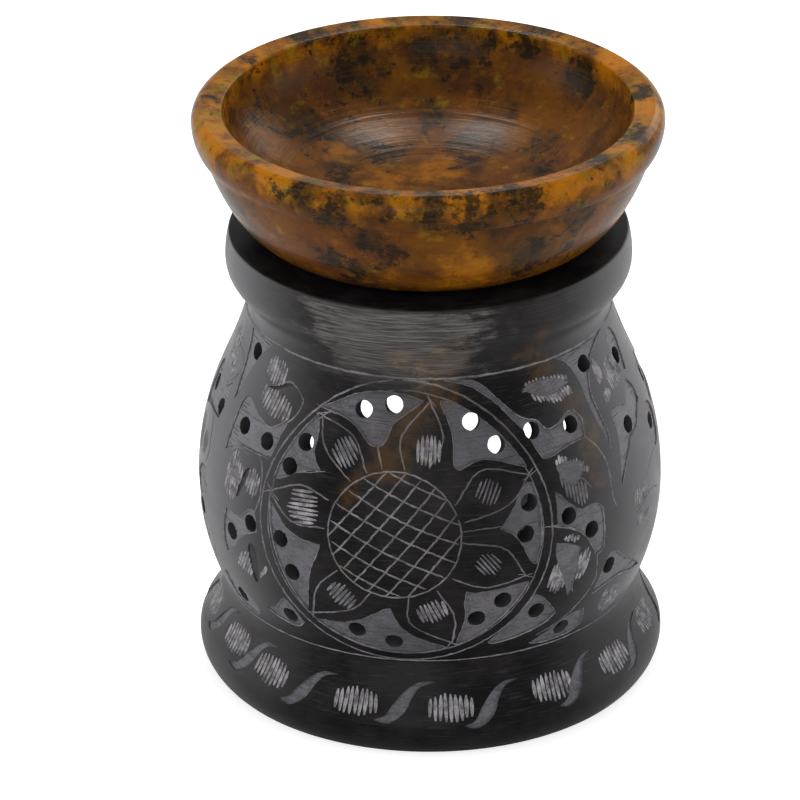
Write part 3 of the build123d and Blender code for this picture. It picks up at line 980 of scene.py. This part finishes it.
# Border lines just inside the foot's crease and the neck's, and small slips of the tool past other lines
low_border_inset = 0.55
high_border_inset = 0.6
border_cuts = []
for border_along in (low_border_inset, wall_length - high_border_inset):
    border = [(wall_radius * math.radians(angle), border_along) for angle in range(-179, 180, 2)]
    border_cuts.append(line_cut(border, half_width=0.2, depth=0.14, smooth=False))
slip_lines = (
    ((-22, 48.2), (-18.5, 47.6), (-15, 47.3)), ((-21.6, 46.6), (-17.6, 47.7)), ((1.2, 52.9), (3.4, 50.2)),
    ((-29.4, 32), (-26.2, 29.6)), ((-20.6, 9.2), (-15, 10.6)), ((17.2, 19), (20.4, 17.6)),
    ((19, 36), (22, 37.2)), ((7.4, 28.3), (15, 28.6)), ((-27.6, 34.6), (-17.4, 37.2)),
    ((4.8, 3.8), (6.6, 7.2)), ((22, 26.8), (26, 26.2)),
)

# The sides of a ground are cut in turns, so that no two cuts that meet at a corner are in the same tool
edge_passes = ([], [], [])
for sides in all_sides:
    for index, side in enumerate(sides):
        last_of_odd = index == len(sides) - 1 and len(sides) % 2 == 1
        edge_passes[2 if last_of_odd else index % 2].append(line_cut(side, depth=0.12, smooth=False))
line_tools = [
    ("ring_lines", ring_line_cuts),
    ("petal_first_sides", first_side_cuts), ("petal_second_sides", second_side_cuts),
    ("net_first", first_net_cuts), ("net_second", second_net_cuts),
    ("leaf_lines", [line_cut(line) for line in leaf_lines]), ("border_lines", border_cuts),
    ("tool_slips", [line_cut(line, half_width=0.12, depth=0.09) for line in slip_lines]),
]
line_tools += [("ground_edges", edge_pass) for edge_pass in edge_passes]

# Dark wedges that are cut deep into the leaves on the left
leaf_wedge_depth = 0.3
curl_step = 0.6
leaf_wedges = (
    ((-35.6, 47.7), (-33.2, 48.4), (-30.8, 49.6), (-28.8, 49.9), (-30.7, 49), (-33.2, 47.8)),
    ((-37.1, 26.6), (-36.3, 29.6), (-35.2, 32.2), (-34.2, 32.9), (-34.4, 31.8), (-35.2, 29.4),
     (-36.4, 26.7)),
    ((-33.1, 18.6), (-31.4, 18.9), (-30.9, 15.4), (-31.3, 12.1), (-32.2, 11.4), (-32.9, 14.4)),
)
wedge_outlines = [flowing_line(wedge, curl_step, closed=True) for wedge in leaf_wedges]
cut_away(burner_body, tool_bars("hatching_first_pass", hatch_all[::2], hatched_finish))
cut_away(burner_body, tool_bars("hatching_second_pass", hatch_all[1::2], hatched_finish))
cut_away(burner_body, flat_tool("leaf_wedges", wedge_outlines, leaf_wedge_depth, bored_finish))
for tool_name, cuts in line_tools:
    cut_away(burner_body, tool_bars(tool_name, cuts, engraved_finish))

# Border of the foot
# Round the foot's slope run hatched ovals. After each comes one broad stroke, scooped out of the stone,
# that sweeps up to a thin tail.
oval_places = (
    (-57, -5.2), (-41.3, -5.8), (-29.6, -7), (-11.3, -7.8), (5.6, -8.1), (24.8, -7.3), (40.4, -7.4),
    (56, -6.5), (75, -7.4), (92, -7.2), (109, -7.5), (-123.5, -7.3), (-107, -7.5), (-90, -7.2),
    (-73.5, -7.4),
)
scroll_starts = (
    (-54, -8.8), (-40.4, -9.9), (-26, -10.9), (-7.6, -10.6), (8, -11.5), (25.4, -11.1), (42.2, -11.0),
    (60, -10.6), (79, -10.9), (96, -10.8), (113, -11), (-119.5, -10.8), (-103, -11), (-86, -10.8),
    (-69.5, -10.9),
)
oval_width = 8.2
oval_height = 5.2
oval_strokes = 9
oval_directions = (84, 94)
oval_half_width = 0.41
scroll_path = ((0, 0), (2.0, 0.2), (4.0, 2.3), (5.7, 4.9), (7.6, 6.6), (10.2, 7.1))
scroll_half_widths = (0.14, 0.75, 1.25, 0.88, 0.44, 0.10)
scroll_depth = 0.35
oval_cuts = []
for place in oval_places:
    direction = carver.uniform(*oval_directions)
    oval_cuts += hatch_cuts(place, direction, oval_width, oval_height, oval_strokes, oval_half_width)


def scroll_outline(start):
    """The outline of one scooped stroke: a path with a changing width on both sides."""
    spots = [Vector(start) + Vector(point) for point in scroll_path]
    left_edge = []
    right_edge = []
    for index, (spot, half_width) in enumerate(zip(spots, scroll_half_widths)):
        heading = spots[min(index + 1, len(spots) - 1)] - spots[max(index - 1, 0)]
        side = Vector((-heading.y, heading.x)).normalized() * half_width
        left_edge.append(spot + side)
        right_edge.append(spot - side)
    return flowing_line(left_edge + right_edge[::-1], curl_step, closed=True)


cut_away(burner_body, tool_bars("foot_ovals_first_pass", oval_cuts[::2], hatched_finish))
cut_away(burner_body, tool_bars("foot_ovals_second_pass", oval_cuts[1::2], hatched_finish))
scroll_outlines = [scroll_outline(start) for start in scroll_starts]
cut_away(burner_body, flat_tool("foot_scrolls", scroll_outlines, scroll_depth, scraped_finish))

# Drilled vents
# Holes of a 3.3 mm drill go square through the carved wall and feed the flame with air. High up, where the
# wall curves in, the mouth is tight and the stone breaks out wider inside.
vent_radius = 1.58
vent_mouth = 0.04
high_vent_radius = 1.3
vent_breakout = 1.25
breakout_start_share = 0.76
vent_depth = 9.0
vent_overrun = 2.0
drill_sides = 24
medallion_vents = (
    (-7.5, 0.905), (15, 0.85), (21.5, 0.77), (28.5, 0.57), (27, 0.47), (21, 0.25), (14.5, 0.19),
    (-6.5, 0.095), (-16, 0.13), (-33, 0.3), (-36.5, 0.405), (-36, 0.65), (-32.5, 0.74), (-16.5, 0.88),
)
right_vents = (
    (32.5, 0.79), (45.5, 0.77), (39.5, 0.49), (46.5, 0.415), (30.5, 0.18), (40, 0.065), (57.4, 0.925),
    (68.5, 0.665), (53.5, 0.25), (77, 0.865), (84.5, 0.585),
)
left_vents = (
    (-36, 0.115), (-45.5, 0.695), (-56, 0.7), (-47, 0.41), (-55, 0.34), (-57, 0.08), (-62.5, 0.925),
    (-72, 0.68), (-74.5, 0.315), (-84, 0.7), (-83, 0.36),
)
side_vents = ((-5, 0.7), (5, 0.695), (-4.5, 0.34), (4, 0.41), (-6, 0.08))
all_vents = list(medallion_vents + right_vents + left_vents)
for column_angle in side_column_angles:
    all_vents += [(column_angle + angle, share) for angle, share in side_vents]
bpy.ops.object.select_all(action="DESELECT")
drills = []
for angle, share in all_vents:
    around = wall_radius * math.radians(angle)
    mouth = on_stone(around, wall_length * share, 0)
    drill_axis = (on_stone(around, wall_length * share, 1) - mouth).normalized()
    middle = mouth + drill_axis * (vent_overrun - vent_depth) / 2
    turn = drill_axis.to_track_quat("Z", "Y").to_euler()
    is_high = share > breakout_start_share
    inner_radius = high_vent_radius + vent_breakout if is_high else vent_radius - vent_mouth
    mouth_radius = high_vent_radius if is_high else vent_radius + vent_mouth
    bpy.ops.mesh.primitive_cone_add(
        vertices=drill_sides, radius1=inner_radius, radius2=mouth_radius,
        depth=vent_depth + vent_overrun, location=middle, rotation=turn,
    )
    drills.append(bpy.context.object)
for drill in drills:
    drill.select_set(True)
bpy.context.view_layer.objects.active = drills[0]
bpy.ops.object.join()
bpy.ops.object.transform_apply()
vent_tool = bpy.context.object
vent_tool.data.materials.append(bored_finish)
cut_away(burner_body, vent_tool)
smooth_angle = math.radians(32)


def bring_to_metres(piece):
    """Scales a finished mesh from millimetres to metres and leaves its object unscaled."""
    choose(piece)
    piece.scale = (metre_share, metre_share, metre_share)
    bpy.ops.object.transform_apply(location=True, rotation=True, scale=True)
    bpy.ops.object.shade_smooth_by_angle(angle=smooth_angle)


bring_to_metres(burner_body)
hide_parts("burner_body")
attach(burner_body, "burner")

# Oil dish
# A loose bowl turned from amber-brown soapstone with black and olive mottling. A short spigot under its
# foot sits in the collar's bore, and the lathe leaves fine rings in the bowl.
dish_low, dish_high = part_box("oil_dish")
dish_radius = dish_high.x / metre_share
rim_top = dish_high.z / metre_share
spigot_base = dish_low.z / metre_share
spigot_clearance = 0.4
spigot_chamfer = 0.4
spigot_ring_radius = 12.0
dish_seat_width = 2.0
rim_band_height = 7.2
rim_width = 5.5
rim_overhang = 2.0
rim_step = Vector((1.0, 0.8))
rim_step_round = Vector((0.1, 0.35))
rim_bulge_rise = 4.6
rim_round = 1.8
rim_lip = 0.5
rim_flat_shares = (0, 0.12, 0.5, 0.86)
rim_bevel_drop = Vector((0.05, -0.6))
dish_floor = 6.0
side_reach_shares = (0.45, 0.8)
side_rise_share = 0.46
bowl_radius_shares = (0.97, 0.61)
bowl_rise_share = 0.31
side_ring_depth = 0.012
bowl_ring_depth = 0.03
dish_lathe_steps = 192
turner = random.Random(3)
spigot_radius = bore_radius - spigot_clearance
rim_base = rim_top - rim_band_height
bowl_floor_height = seat_height + dish_floor
dish_foot = Vector((bore_radius + dish_seat_width, seat_height))
side_top = Vector((dish_radius - rim_overhang, rim_base))
rim_step_corner = side_top + rim_step
rim_bulge = Vector((dish_radius, rim_base + rim_bulge_rise))
rim_edge = Vector((dish_radius - rim_round, rim_top))
rim_inner = Vector((dish_radius - rim_width, rim_top - rim_lip))
side_size = side_top - dish_foot
low_pull, high_pull = [dish_foot + Vector((side_size.x * share, 0)) for share in side_reach_shares]
high_pull.y += side_size.y * side_rise_share
dish_side = bezier_points((dish_foot, low_pull, high_pull, side_top), steps=34)
step_side = [side_top, side_top + rim_step_round, rim_step_corner]
rim_low, _ = arc_points(rim_bulge, downward, rim_step_corner, steps=7)
rim_high, _ = arc_points(rim_bulge, upward, rim_edge, steps=7)
rim_flat = [rim_edge.lerp(rim_inner, share) for share in rim_flat_shares]
rim_heading = (rim_inner - rim_edge).normalized()
rim_bevel, _ = arc_points(rim_flat[-1], rim_heading, rim_inner + rim_bevel_drop, steps=4)
wall_pull, floor_pull = [Vector((rim_inner.x * share, bowl_floor_height)) for share in bowl_radius_shares]
wall_pull.y += (rim_inner.y - bowl_floor_height) * bowl_rise_share
bowl_middle = Vector((0, bowl_floor_height))
bowl_side = bezier_points((rim_bevel[-1], wall_pull, floor_pull, bowl_middle), steps=84)


def lathe_rings(points, amount):
    """The same outline with the small uneven steps that a turning tool leaves."""
    rings = [point + Vector((0, turner.uniform(-amount, amount))) for point in points[1:-1]]
    return [points[0]] + rings + [points[-1]]


spigot_radii = (0, spigot_ring_radius, spigot_radius - spigot_chamfer)
dish_outline = chain(
    [Vector((radius, spigot_base)) for radius in spigot_radii],
    [Vector((spigot_radius, spigot_base + spigot_chamfer)), Vector((spigot_radius, seat_height))],
    lathe_rings(dish_side, side_ring_depth), step_side, rim_low[::-1], rim_high, rim_flat, rim_bevel,
    lathe_rings(bowl_side, bowl_ring_depth),
)
oil_dish = spin_outline("amber_stone_dish", dish_outline, dish_lathe_steps)

amber_tone = (0.400, 0.138, 0.002, 1)
gold_tone = (0.240, 0.160, 0.004, 1)
orange_tone = (0.135, 0.047, 0.004, 1)
brown_tone = (0.046, 0.017, 0.005, 1)
smoke_tone = (0.0180, 0.0145, 0.0070, 1)
mottle_tone = (0.0085, 0.0075, 0.0050, 1)
rust_tone = (0.090, 0.024, 0.008, 1)

# Heights, in metres, over which the stone is painted lighter and more amber towards the rim, as painted
# light on the rim that faces up, and the scales of the turning marks across and along the rings
lit_rim_heights = (0.1015, 0.1060)
ring_scale = 2400.0
ring_break_scale = 1.6

# Dark mottles and amber patches of this stone, as bearing from the front in degrees, radius, height and reach
dark_places = (
    (-155, 33, 99, 6), (-154, 36, 106, 4), (177, 35, 102, 7), (165, 35, 104, 4), (151, 36, 105, 3),
    (131, 35, 102, 5), (151, 28, 95, 3), (-114, 33, 99, 4), (-125, 27, 94, 5), (-109, 18, 91, 5),
    (-146, 16, 91, 5), (-175, 25, 93, 4), (157, 19, 92, 5), (154, 14, 91, 3), (123, 23, 93, 4),
    (109, 22, 92, 4), (52, 38, 107, 5), (73, 38, 107, 5), (100, 38, 107, 3), (23, 41, 105, 6),
    (3, 41, 106, 5), (12, 41, 103, 5), (-9, 40, 106, 4), (-21, 41, 103, 5), (-28, 41, 106, 5),
    (-12, 39, 98, 4), (30, 36, 93, 6), (44, 39, 99, 4), (44, 37, 94, 4), (-19, 34, 89, 5), (-25, 35, 91, 4),
    (-8, 37, 95, 4), (-120, 37, 107, 4), (-143, 38, 107, 4), (172, 38, 107, 5), (152, 39, 107, 5),
    (-91, 38, 107, 3), (-60, 38, 96, 5), (-95, 36, 92, 6), (-130, 40, 101, 5), (170, 37, 94, 6),
    (130, 38, 97, 5), (95, 35, 91, 6), (75, 40, 101, 4), (-160, 35, 91, 5), (150, 34, 88, 5),
    (-75, 33, 88, 5), (65, 32, 87, 4),
)
amber_places = (
    (170, 10, 90, 9), (-117, 11, 90, 6), (-125, 21, 92, 5), (12, 41, 106, 6), (-3, 40, 106, 4),
    (-19, 41, 105, 5), (-37, 41, 106, 6), (-119, 38, 107, 6), (90, 38, 107, 6), (-162, 38, 107, 5),
    (60, 39, 107, 5), (-67, 41, 106, 6), (125, 38, 107, 6), (12, 35, 90, 8), (-100, 37, 95, 5),
    (140, 36, 92, 7), (-150, 37, 95, 6), (70, 35, 91, 5),
)


def dish_patches(places, spread=1.0):
    """Patches of the dish as middles and reaches in metres."""
    patches = []
    for bearing, radius, height, reach in places:
        turn = math.radians(bearing)
        middle = Vector((radius * math.sin(turn), -radius * math.cos(turn), height)) * metre_share
        patches.append((middle, reach * spread * metre_share))
    return patches


def amber_stone():
    """Polished amber stone: brown to orange clouds, amber and gold patches, smoky places and black specks."""
    material, tree, shader, place = start_material("amber_mottled_stone")

    def layer(shift, scale, detail, roughness=0.6, distortion=0.0):
        """One noise layer of the stone, shifted so that no two layers match."""
        return grain(tree, moved_place(tree, place, Location=shift), scale, detail, roughness, distortion)

    axes = axis_values(tree, place)
    # Painted light: the rim, which faces up, is made lighter and more amber than the bowl and the side
    lit_rim = soft_step(tree, axes["Z"], *lit_rim_heights)
    clouds = layer((0, 0, 0), 75.0, 6.0, 0.62, 0.5)
    colour = mix_colour(tree, soft_step(tree, clouds, 0.34, 0.60), brown_tone, orange_tone)
    rust = soft_step(tree, layer((0.2, 0.5, 0.1), 50.0, 4.0), 0.50, 0.66)
    colour = mix_colour(tree, product(tree, rust, 0.5), colour, rust_tone)
    amber_patches = patch_mask(tree, place, dish_patches(amber_places), wander_scale=170.0, wander=0.010)
    amber_push = total(tree, product(tree, amber_patches, 0.20), product(tree, lit_rim, 0.15))
    amber = soft_step(tree, total(tree, amber_push, layer((0.31, 0.17, 0.05), 150.0, 7.0, 0.70)), 0.52, 0.80)
    amber_strength = math_node(tree, "MULTIPLY_ADD", lit_rim, 0.34, 0.52)
    colour = mix_colour(tree, product(tree, amber, amber_strength), colour, amber_tone)
    gold = total(tree, layer((0.44, 0.21, 0.63), 230.0, 6.0, 0.65), product(tree, lit_rim, 0.07))
    gold = product(tree, soft_step(tree, gold, 0.56, 0.72), 0.55)
    colour = mix_colour(tree, gold, colour, gold_tone)
    dark = patch_mask(tree, place, dish_patches(dark_places, 1.4), wander_scale=210.0, wander=0.010)
    smoke = soft_step(tree, layer((0.05, 0.33, 0.61), 160.0, 10.0, 0.74, 0.3), 0.36, 0.60)
    smoke = product(tree, product(tree, dark, smoke), 0.80)
    colour = mix_colour(tree, smoke, colour, smoke_tone)
    clusters = math_node(tree, "SUBTRACT", layer((0.12, 0.44, 0.27), 95.0, 3.0, 0.5, 0.3), 0.5)
    spread = total(tree, product(tree, clusters, 0.40), product(tree, dark, 0.16))
    specks = total(tree, layer((0.15, 0.73, 0.21), 420.0, 8.0, 0.76), spread)
    mottle = soft_step(tree, specks, 0.60, 0.69)
    colour = mix_colour(tree, product(tree, mottle, 0.85), colour, mottle_tone)
    fine = layer((0.7, 0.1, 0.2), 620.0, 5.0, 0.7)
    colour = mix_colour(tree, product(tree, soft_step(tree, fine, 0.53, 0.67), 0.5), colour, brown_tone)
    reach = vector_node(tree, "LENGTH", vector_node(tree, "MULTIPLY", place, (1, 1, 0)))
    ring_values = {
        "X": product(tree, reach, ring_scale),
        "Y": product(tree, math_node(tree, "ARCTAN2", axes["X"], axes["Y"]), ring_break_scale),
        "Z": product(tree, axes["Z"], ring_scale),
    }
    rings = add_node(tree, "CombineXYZ", ring_values).outputs[0]
    turning = grain(tree, rings, 1.0, 3.0, 0.6)
    worn = product(tree, soft_step(tree, turning, 0.50, 0.68), 0.18)
    colour = mix_colour(tree, worn, colour, orange_tone)
    roughness = math_node(tree, "MULTIPLY_ADD", turning, 0.20, 0.14)
    height = total(tree, product(tree, turning, 1.6), product(tree, fine, 0.4))
    finish_material(tree, shader, colour, roughness, height, bump_strength=0.5, bump_depth=0.00007)
    shader.inputs["Specular IOR Level"].default_value = 0.08
    shader.inputs["Specular Tint"].default_value = (1.0, 0.84, 0.66, 1)
    shader.inputs["Subsurface Weight"].default_value = 0.05
    shader.inputs["Subsurface Radius"].default_value = (0.003, 0.0012, 0.0004)
    return material


oil_dish.data.materials.append(amber_stone())
bring_to_metres(oil_dish)
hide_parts("oil_dish")
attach(oil_dish, "dish")

# Tealight cup
# A cup drawn from thin aluminium, with a rounded foot and a rolled lip. It stands loose on the chamber's
# floor and slides out through the door.
cup_low, cup_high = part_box("tealight_cup")
cup_base = cup_low.z / metre_share
cup_top = cup_high.z / metre_share
lip_radius = cup_high.x / metre_share
lip_width = 0.6
lip_ease = Vector((0.1, 0.3))
cup_sheet = 0.4
cup_corner = 1.6
recess_rise = 0.15
recess_insets = (5.0, 4.0)
cup_lathe_steps = 144
cup_radius = lip_radius - lip_width
cup_inner_radius = cup_radius - cup_sheet
foot_start = Vector((cup_radius - cup_corner, cup_base))
cup_foot, _ = arc_points(foot_start, outward, Vector((cup_radius, cup_base + cup_corner)), steps=6)
lip_half = cup_sheet / 2
lip_middle = Vector((lip_radius - lip_half, cup_top - lip_half))
lip_roll = [lip_middle + heading_at(angle) * lip_half for angle in range(-90, 91, 30)]
inner_start = Vector((cup_inner_radius, cup_base + cup_corner))
inner_end = Vector((cup_radius - cup_corner, cup_base + cup_sheet))
inner_corner, _ = arc_points(inner_start, downward, inner_end, steps=5)
cup_recess = [
    Vector((0, cup_base + recess_rise)),
    Vector((cup_radius - recess_insets[0], cup_base + recess_rise)),
    Vector((cup_radius - recess_insets[1], cup_base)),
]
lip_crest = Vector((cup_inner_radius + lip_ease.x, cup_top))
lip_inside = [lip_crest, Vector((cup_inner_radius, cup_top - lip_ease.y))]
cup_outline = chain(
    cup_recess, cup_foot, [Vector((cup_radius, cup_top - cup_sheet))], lip_roll, lip_inside, inner_corner,
    [Vector((0, cup_base + cup_sheet))],
)
tealight_cup = spin_outline("drawn_metal_cup", cup_outline, cup_lathe_steps)


def drawn_metal():
    """Bright drawn foil with fine upright draw marks and a few dull handling spots."""
    material, tree, shader, place = start_material("drawn_cup_metal")
    draw_marks = grain(tree, moved_place(tree, place, Scale=(1, 1, 0.06)), 2200.0, 3.0)
    spots = grain(tree, place, 220.0, 4.0)
    colour = mix_colour(tree, spots, (0.72, 0.72, 0.74, 1), (0.86, 0.86, 0.87, 1))
    roughness = math_node(tree, "MULTIPLY_ADD", spots, 0.2, 0.2)
    finish_material(tree, shader, colour, roughness, draw_marks, bump_strength=0.25, bump_depth=0.00005)
    shader.inputs["Metallic"].default_value = 1.0
    return material


tealight_cup.data.materials.append(drawn_metal())
bring_to_metres(tealight_cup)
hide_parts("tealight_cup")
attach(tealight_cup, "tealight")

# Tealight wax
# White wax cast in the cup round the wick. As it set it crept up the wall of the cup and up the wick, so
# its top is a shallow dish.
wax_low, wax_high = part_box("tealight_wax")
wax_base = wax_low.z / metre_share
wax_top = wax_high.z / metre_share
wax_radius = wax_high.x / metre_share
wall_creep = ((0, 0), (0.4, 0.25), (1.2, 0.42), (3, 0.5))
wick_creep = ((10, 0.5), (5, 0.4), (2.6, 0.3), (1.5, 0.1), (0.95, 0))
wick_hole_radius = wick_creep[-1][0]
sleeve_hole_radius = 1.5
sleeve_hole_depth = 5.0
disc_hole_radius = 6.55
disc_hole_depth = 0.3
wax_corner = Vector((0.4, 0.6))
wax_lathe_steps = 96
wax_surface = [Vector((wax_radius - inset, wax_top - drop)) for inset, drop in wall_creep]
wax_surface += [Vector((radius, wax_top - drop)) for radius, drop in wick_creep]
wax_hole = (
    (wick_hole_radius, sleeve_hole_depth), (sleeve_hole_radius, sleeve_hole_depth),
    (sleeve_hole_radius, disc_hole_depth), (disc_hole_radius, disc_hole_depth), (disc_hole_radius, 0),
)
wax_side = (
    (wax_radius - cup_corner, 0), (wax_radius - wax_corner.x, wax_corner.y), (wax_radius, cup_corner),
    (wax_radius, wax_top - wax_base),
)
wax_outline = chain(wax_surface, [Vector((radius, wax_base + rise)) for radius, rise in wax_hole + wax_side])
tealight_wax = spin_outline("cast_wax", wax_outline, wax_lathe_steps)


def candle_wax():
    """Soft white wax with faint cloudy bloom."""
    material, tree, shader, place = start_material("cast_white_wax")
    bloom = grain(tree, place, 260.0, 4.0)
    colour = mix_colour(tree, bloom, (0.80, 0.77, 0.70, 1), (0.88, 0.87, 0.83, 1))
    roughness = math_node(tree, "MULTIPLY_ADD", bloom, 0.2, 0.35)
    ripple = grain(tree, place, 900.0, 3.0)
    finish_material(tree, shader, colour, roughness, ripple, bump_strength=0.2, bump_depth=0.0001)
    shader.inputs["Subsurface Weight"].default_value = 0.3
    shader.inputs["Subsurface Radius"].default_value = (0.004, 0.003, 0.002)
    return material


tealight_wax.data.materials.append(candle_wax())
bring_to_metres(tealight_wax)
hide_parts("tealight_wax")
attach(tealight_wax, "tealight")

# Wick
# A cotton cord of three strands twisted together, stiff with wax. It stands in the metal base and comes out
# of the wax.
wick_low, wick_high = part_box("tealight_wick")
wick_base = wick_low.z / metre_share
wick_top = wick_high.z / metre_share
wick_radius = wick_high.x / metre_share
strand_count = 3
strand_radius = wick_radius / 2
strand_orbit = wick_radius - strand_radius
wick_turns = 5.0
wick_steps = 90
wick_curve = bpy.data.curves.new("plaited_wick", "CURVE")
wick_curve.dimensions = "3D"
wick_curve.bevel_depth = strand_radius
wick_curve.bevel_resolution = 3
wick_curve.use_fill_caps = True
for strand in range(strand_count):
    spline = wick_curve.splines.new("POLY")
    spline.points.add(wick_steps)
    for index, point in enumerate(spline.points):
        share = index / wick_steps
        turn = 2 * math.pi * (wick_turns * share + strand / strand_count)
        height = wick_base + (wick_top - wick_base) * share
        point.co = (strand_orbit * math.cos(turn), strand_orbit * math.sin(turn), height, 1)
tealight_wick = curve_piece("plaited_wick", wick_curve)


def wick_cotton():
    """Waxed cotton with a fine thready grain."""
    material, tree, shader, place = start_material("waxed_cotton")
    threads = grain(tree, place, 3200.0, 3.0)
    colour = mix_colour(tree, threads, (0.62, 0.57, 0.48, 1), (0.84, 0.81, 0.74, 1))
    roughness = math_node(tree, "MULTIPLY_ADD", threads, 0.2, 0.65)
    finish_material(tree, shader, colour, roughness, threads, bump_strength=0.6, bump_depth=0.0001)
    return material


tealight_wick.data.materials.append(wick_cotton())
bring_to_metres(tealight_wick)
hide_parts("tealight_wick")
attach(tealight_wick, "tealight")

# Wick base
# A stamped tinplate disc with a short tube that grips the wick. It lies under the wax on the cup's floor,
# so its CAD solid stays and only gets a finish.
wick_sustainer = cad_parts["wick_sustainer"]
wick_sustainer.data.materials.clear()


def stamped_tinplate():
    """Grey tinplate with fine rolling marks."""
    material, tree, shader, place = start_material("stamped_tinplate")
    marks = grain(tree, moved_place(tree, place, Scale=(1, 0.05, 1)), 3000.0, 3.0)
    colour = mix_colour(tree, marks, (0.48, 0.48, 0.49, 1), (0.64, 0.64, 0.65, 1))
    roughness = math_node(tree, "MULTIPLY_ADD", marks, 0.2, 0.3)
    finish_material(tree, shader, colour, roughness, marks, bump_strength=0.3, bump_depth=0.00005)
    shader.inputs["Metallic"].default_value = 1.0
    return material


wick_sustainer.data.materials.append(stamped_tinplate())

# Table, light and camera
# A plain white table under soft studio light, which keeps the burner's shadow. The camera is a long lens
# that looks down at the medallion.
floor_size = 8.0
floor_tone = (0.75, 0.75, 0.75, 1)
floor_glow_strength = 0.62
mirrored_share = 0.1
world_strengths = {"To Min": 0.6, "To Max": 1.0}
bpy.ops.object.select_all(action="DESELECT")
bpy.ops.mesh.primitive_plane_add(size=floor_size)
floor = bpy.context.object
floor.name = "white_table"
floor_material = bpy.data.materials.new("white_table")
floor_material.use_nodes = True
floor_tree = floor_material.node_tree
floor_shader = floor_tree.nodes["Principled BSDF"]
floor_shader.inputs["Base Color"].default_value = floor_tone
floor_shader.inputs["Roughness"].default_value = 0.9


def seen_straight(tree):
    """1 where the camera sees a surface, straight or through something clear, and otherwise 0."""
    light_path = add_node(tree, "LightPath").outputs
    return math_node(tree, "MAXIMUM", light_path["Is Camera Ray"], light_path["Is Transmission Ray"])


mirrored = product(floor_tree, add_node(floor_tree, "LightPath").outputs["Is Glossy Ray"], mirrored_share)
seen = math_node(floor_tree, "MAXIMUM", seen_straight(floor_tree), mirrored)
floor_glow = add_node(floor_tree, "Emission", {"Strength": product(floor_tree, seen, floor_glow_strength)})
floor_sum = add_node(floor_tree, "AddShader", {0: floor_shader.outputs[0], 1: floor_glow.outputs[0]})
floor_tree.links.new(floor_sum.outputs[0], floor_tree.nodes["Material Output"].inputs["Surface"])
floor.data.materials.append(floor_material)

world = bpy.data.worlds.new("white_studio")
bpy.context.scene.world = world
world.use_nodes = True
world_tree = world.node_tree
world_strength = add_node(world_tree, "MapRange", {"Value": seen_straight(world_tree), **world_strengths})
world_tree.links.new(world_strength.outputs[0], world_tree.nodes["Background"].inputs["Strength"])
world_tree.nodes["Background"].inputs["Color"].default_value = (1, 1, 1, 1)


def soft_box(name, place, target, size, power):
    """A square soft light at a place, turned to a target."""
    light = bpy.data.lights.new(name, "AREA")
    light.size = size
    light.energy = power
    lamp = bpy.data.objects.new(name, light)
    lamp.location = place
    lamp.rotation_euler = (Vector(target) - Vector(place)).to_track_quat("-Z", "Y").to_euler()
    bpy.context.collection.objects.link(lamp)


shoulder_target = (0, 0, 0.06)
belly_target = (0, 0, 0.05)
soft_box("upper_left_softbox", (-0.17, 0.54, 0.86), shoulder_target, size=0.13, power=2.3)
soft_box("upper_right_softbox", (0.11, 0.54, 0.86), shoulder_target, size=0.13, power=2.3)
soft_box("back_panel", (0.60, 0.85, 0.50), shoulder_target, size=0.5, power=2.0)
soft_box("front_softbox", (-0.20, -1.20, 0.34), belly_target, size=0.8, power=4.8)
soft_box("left_panel", (-0.95, -0.15, 0.35), belly_target, size=0.6, power=2.8)
soft_box("right_panel", (0.95, -0.05, 0.35), belly_target, size=0.6, power=2.0)

camera_place = (0.04673, -0.89170, 0.49286)
camera_bearing = 3.336
camera_dip = 26.408
camera_lean = -0.432
camera_data = bpy.data.cameras.new("photo_camera")
camera_data.sensor_width = 36.0
camera_data.lens = 252.1
camera_data.clip_start = 0.01
camera_data.clip_end = 50.0
camera = bpy.data.objects.new("photo_camera", camera_data)
camera_turn = Matrix.Rotation(math.radians(camera_bearing), 4, "Z")
camera_tilt = Matrix.Rotation(math.radians(90 - camera_dip), 4, "X")
camera_roll = Matrix.Rotation(math.radians(camera_lean), 4, "Z")
camera.matrix_world = Matrix.Translation(camera_place) @ camera_turn @ camera_tilt @ camera_roll
bpy.context.collection.objects.link(camera)
bpy.context.scene.camera = camera
bpy.context.scene.view_settings.view_transform = "Standard"
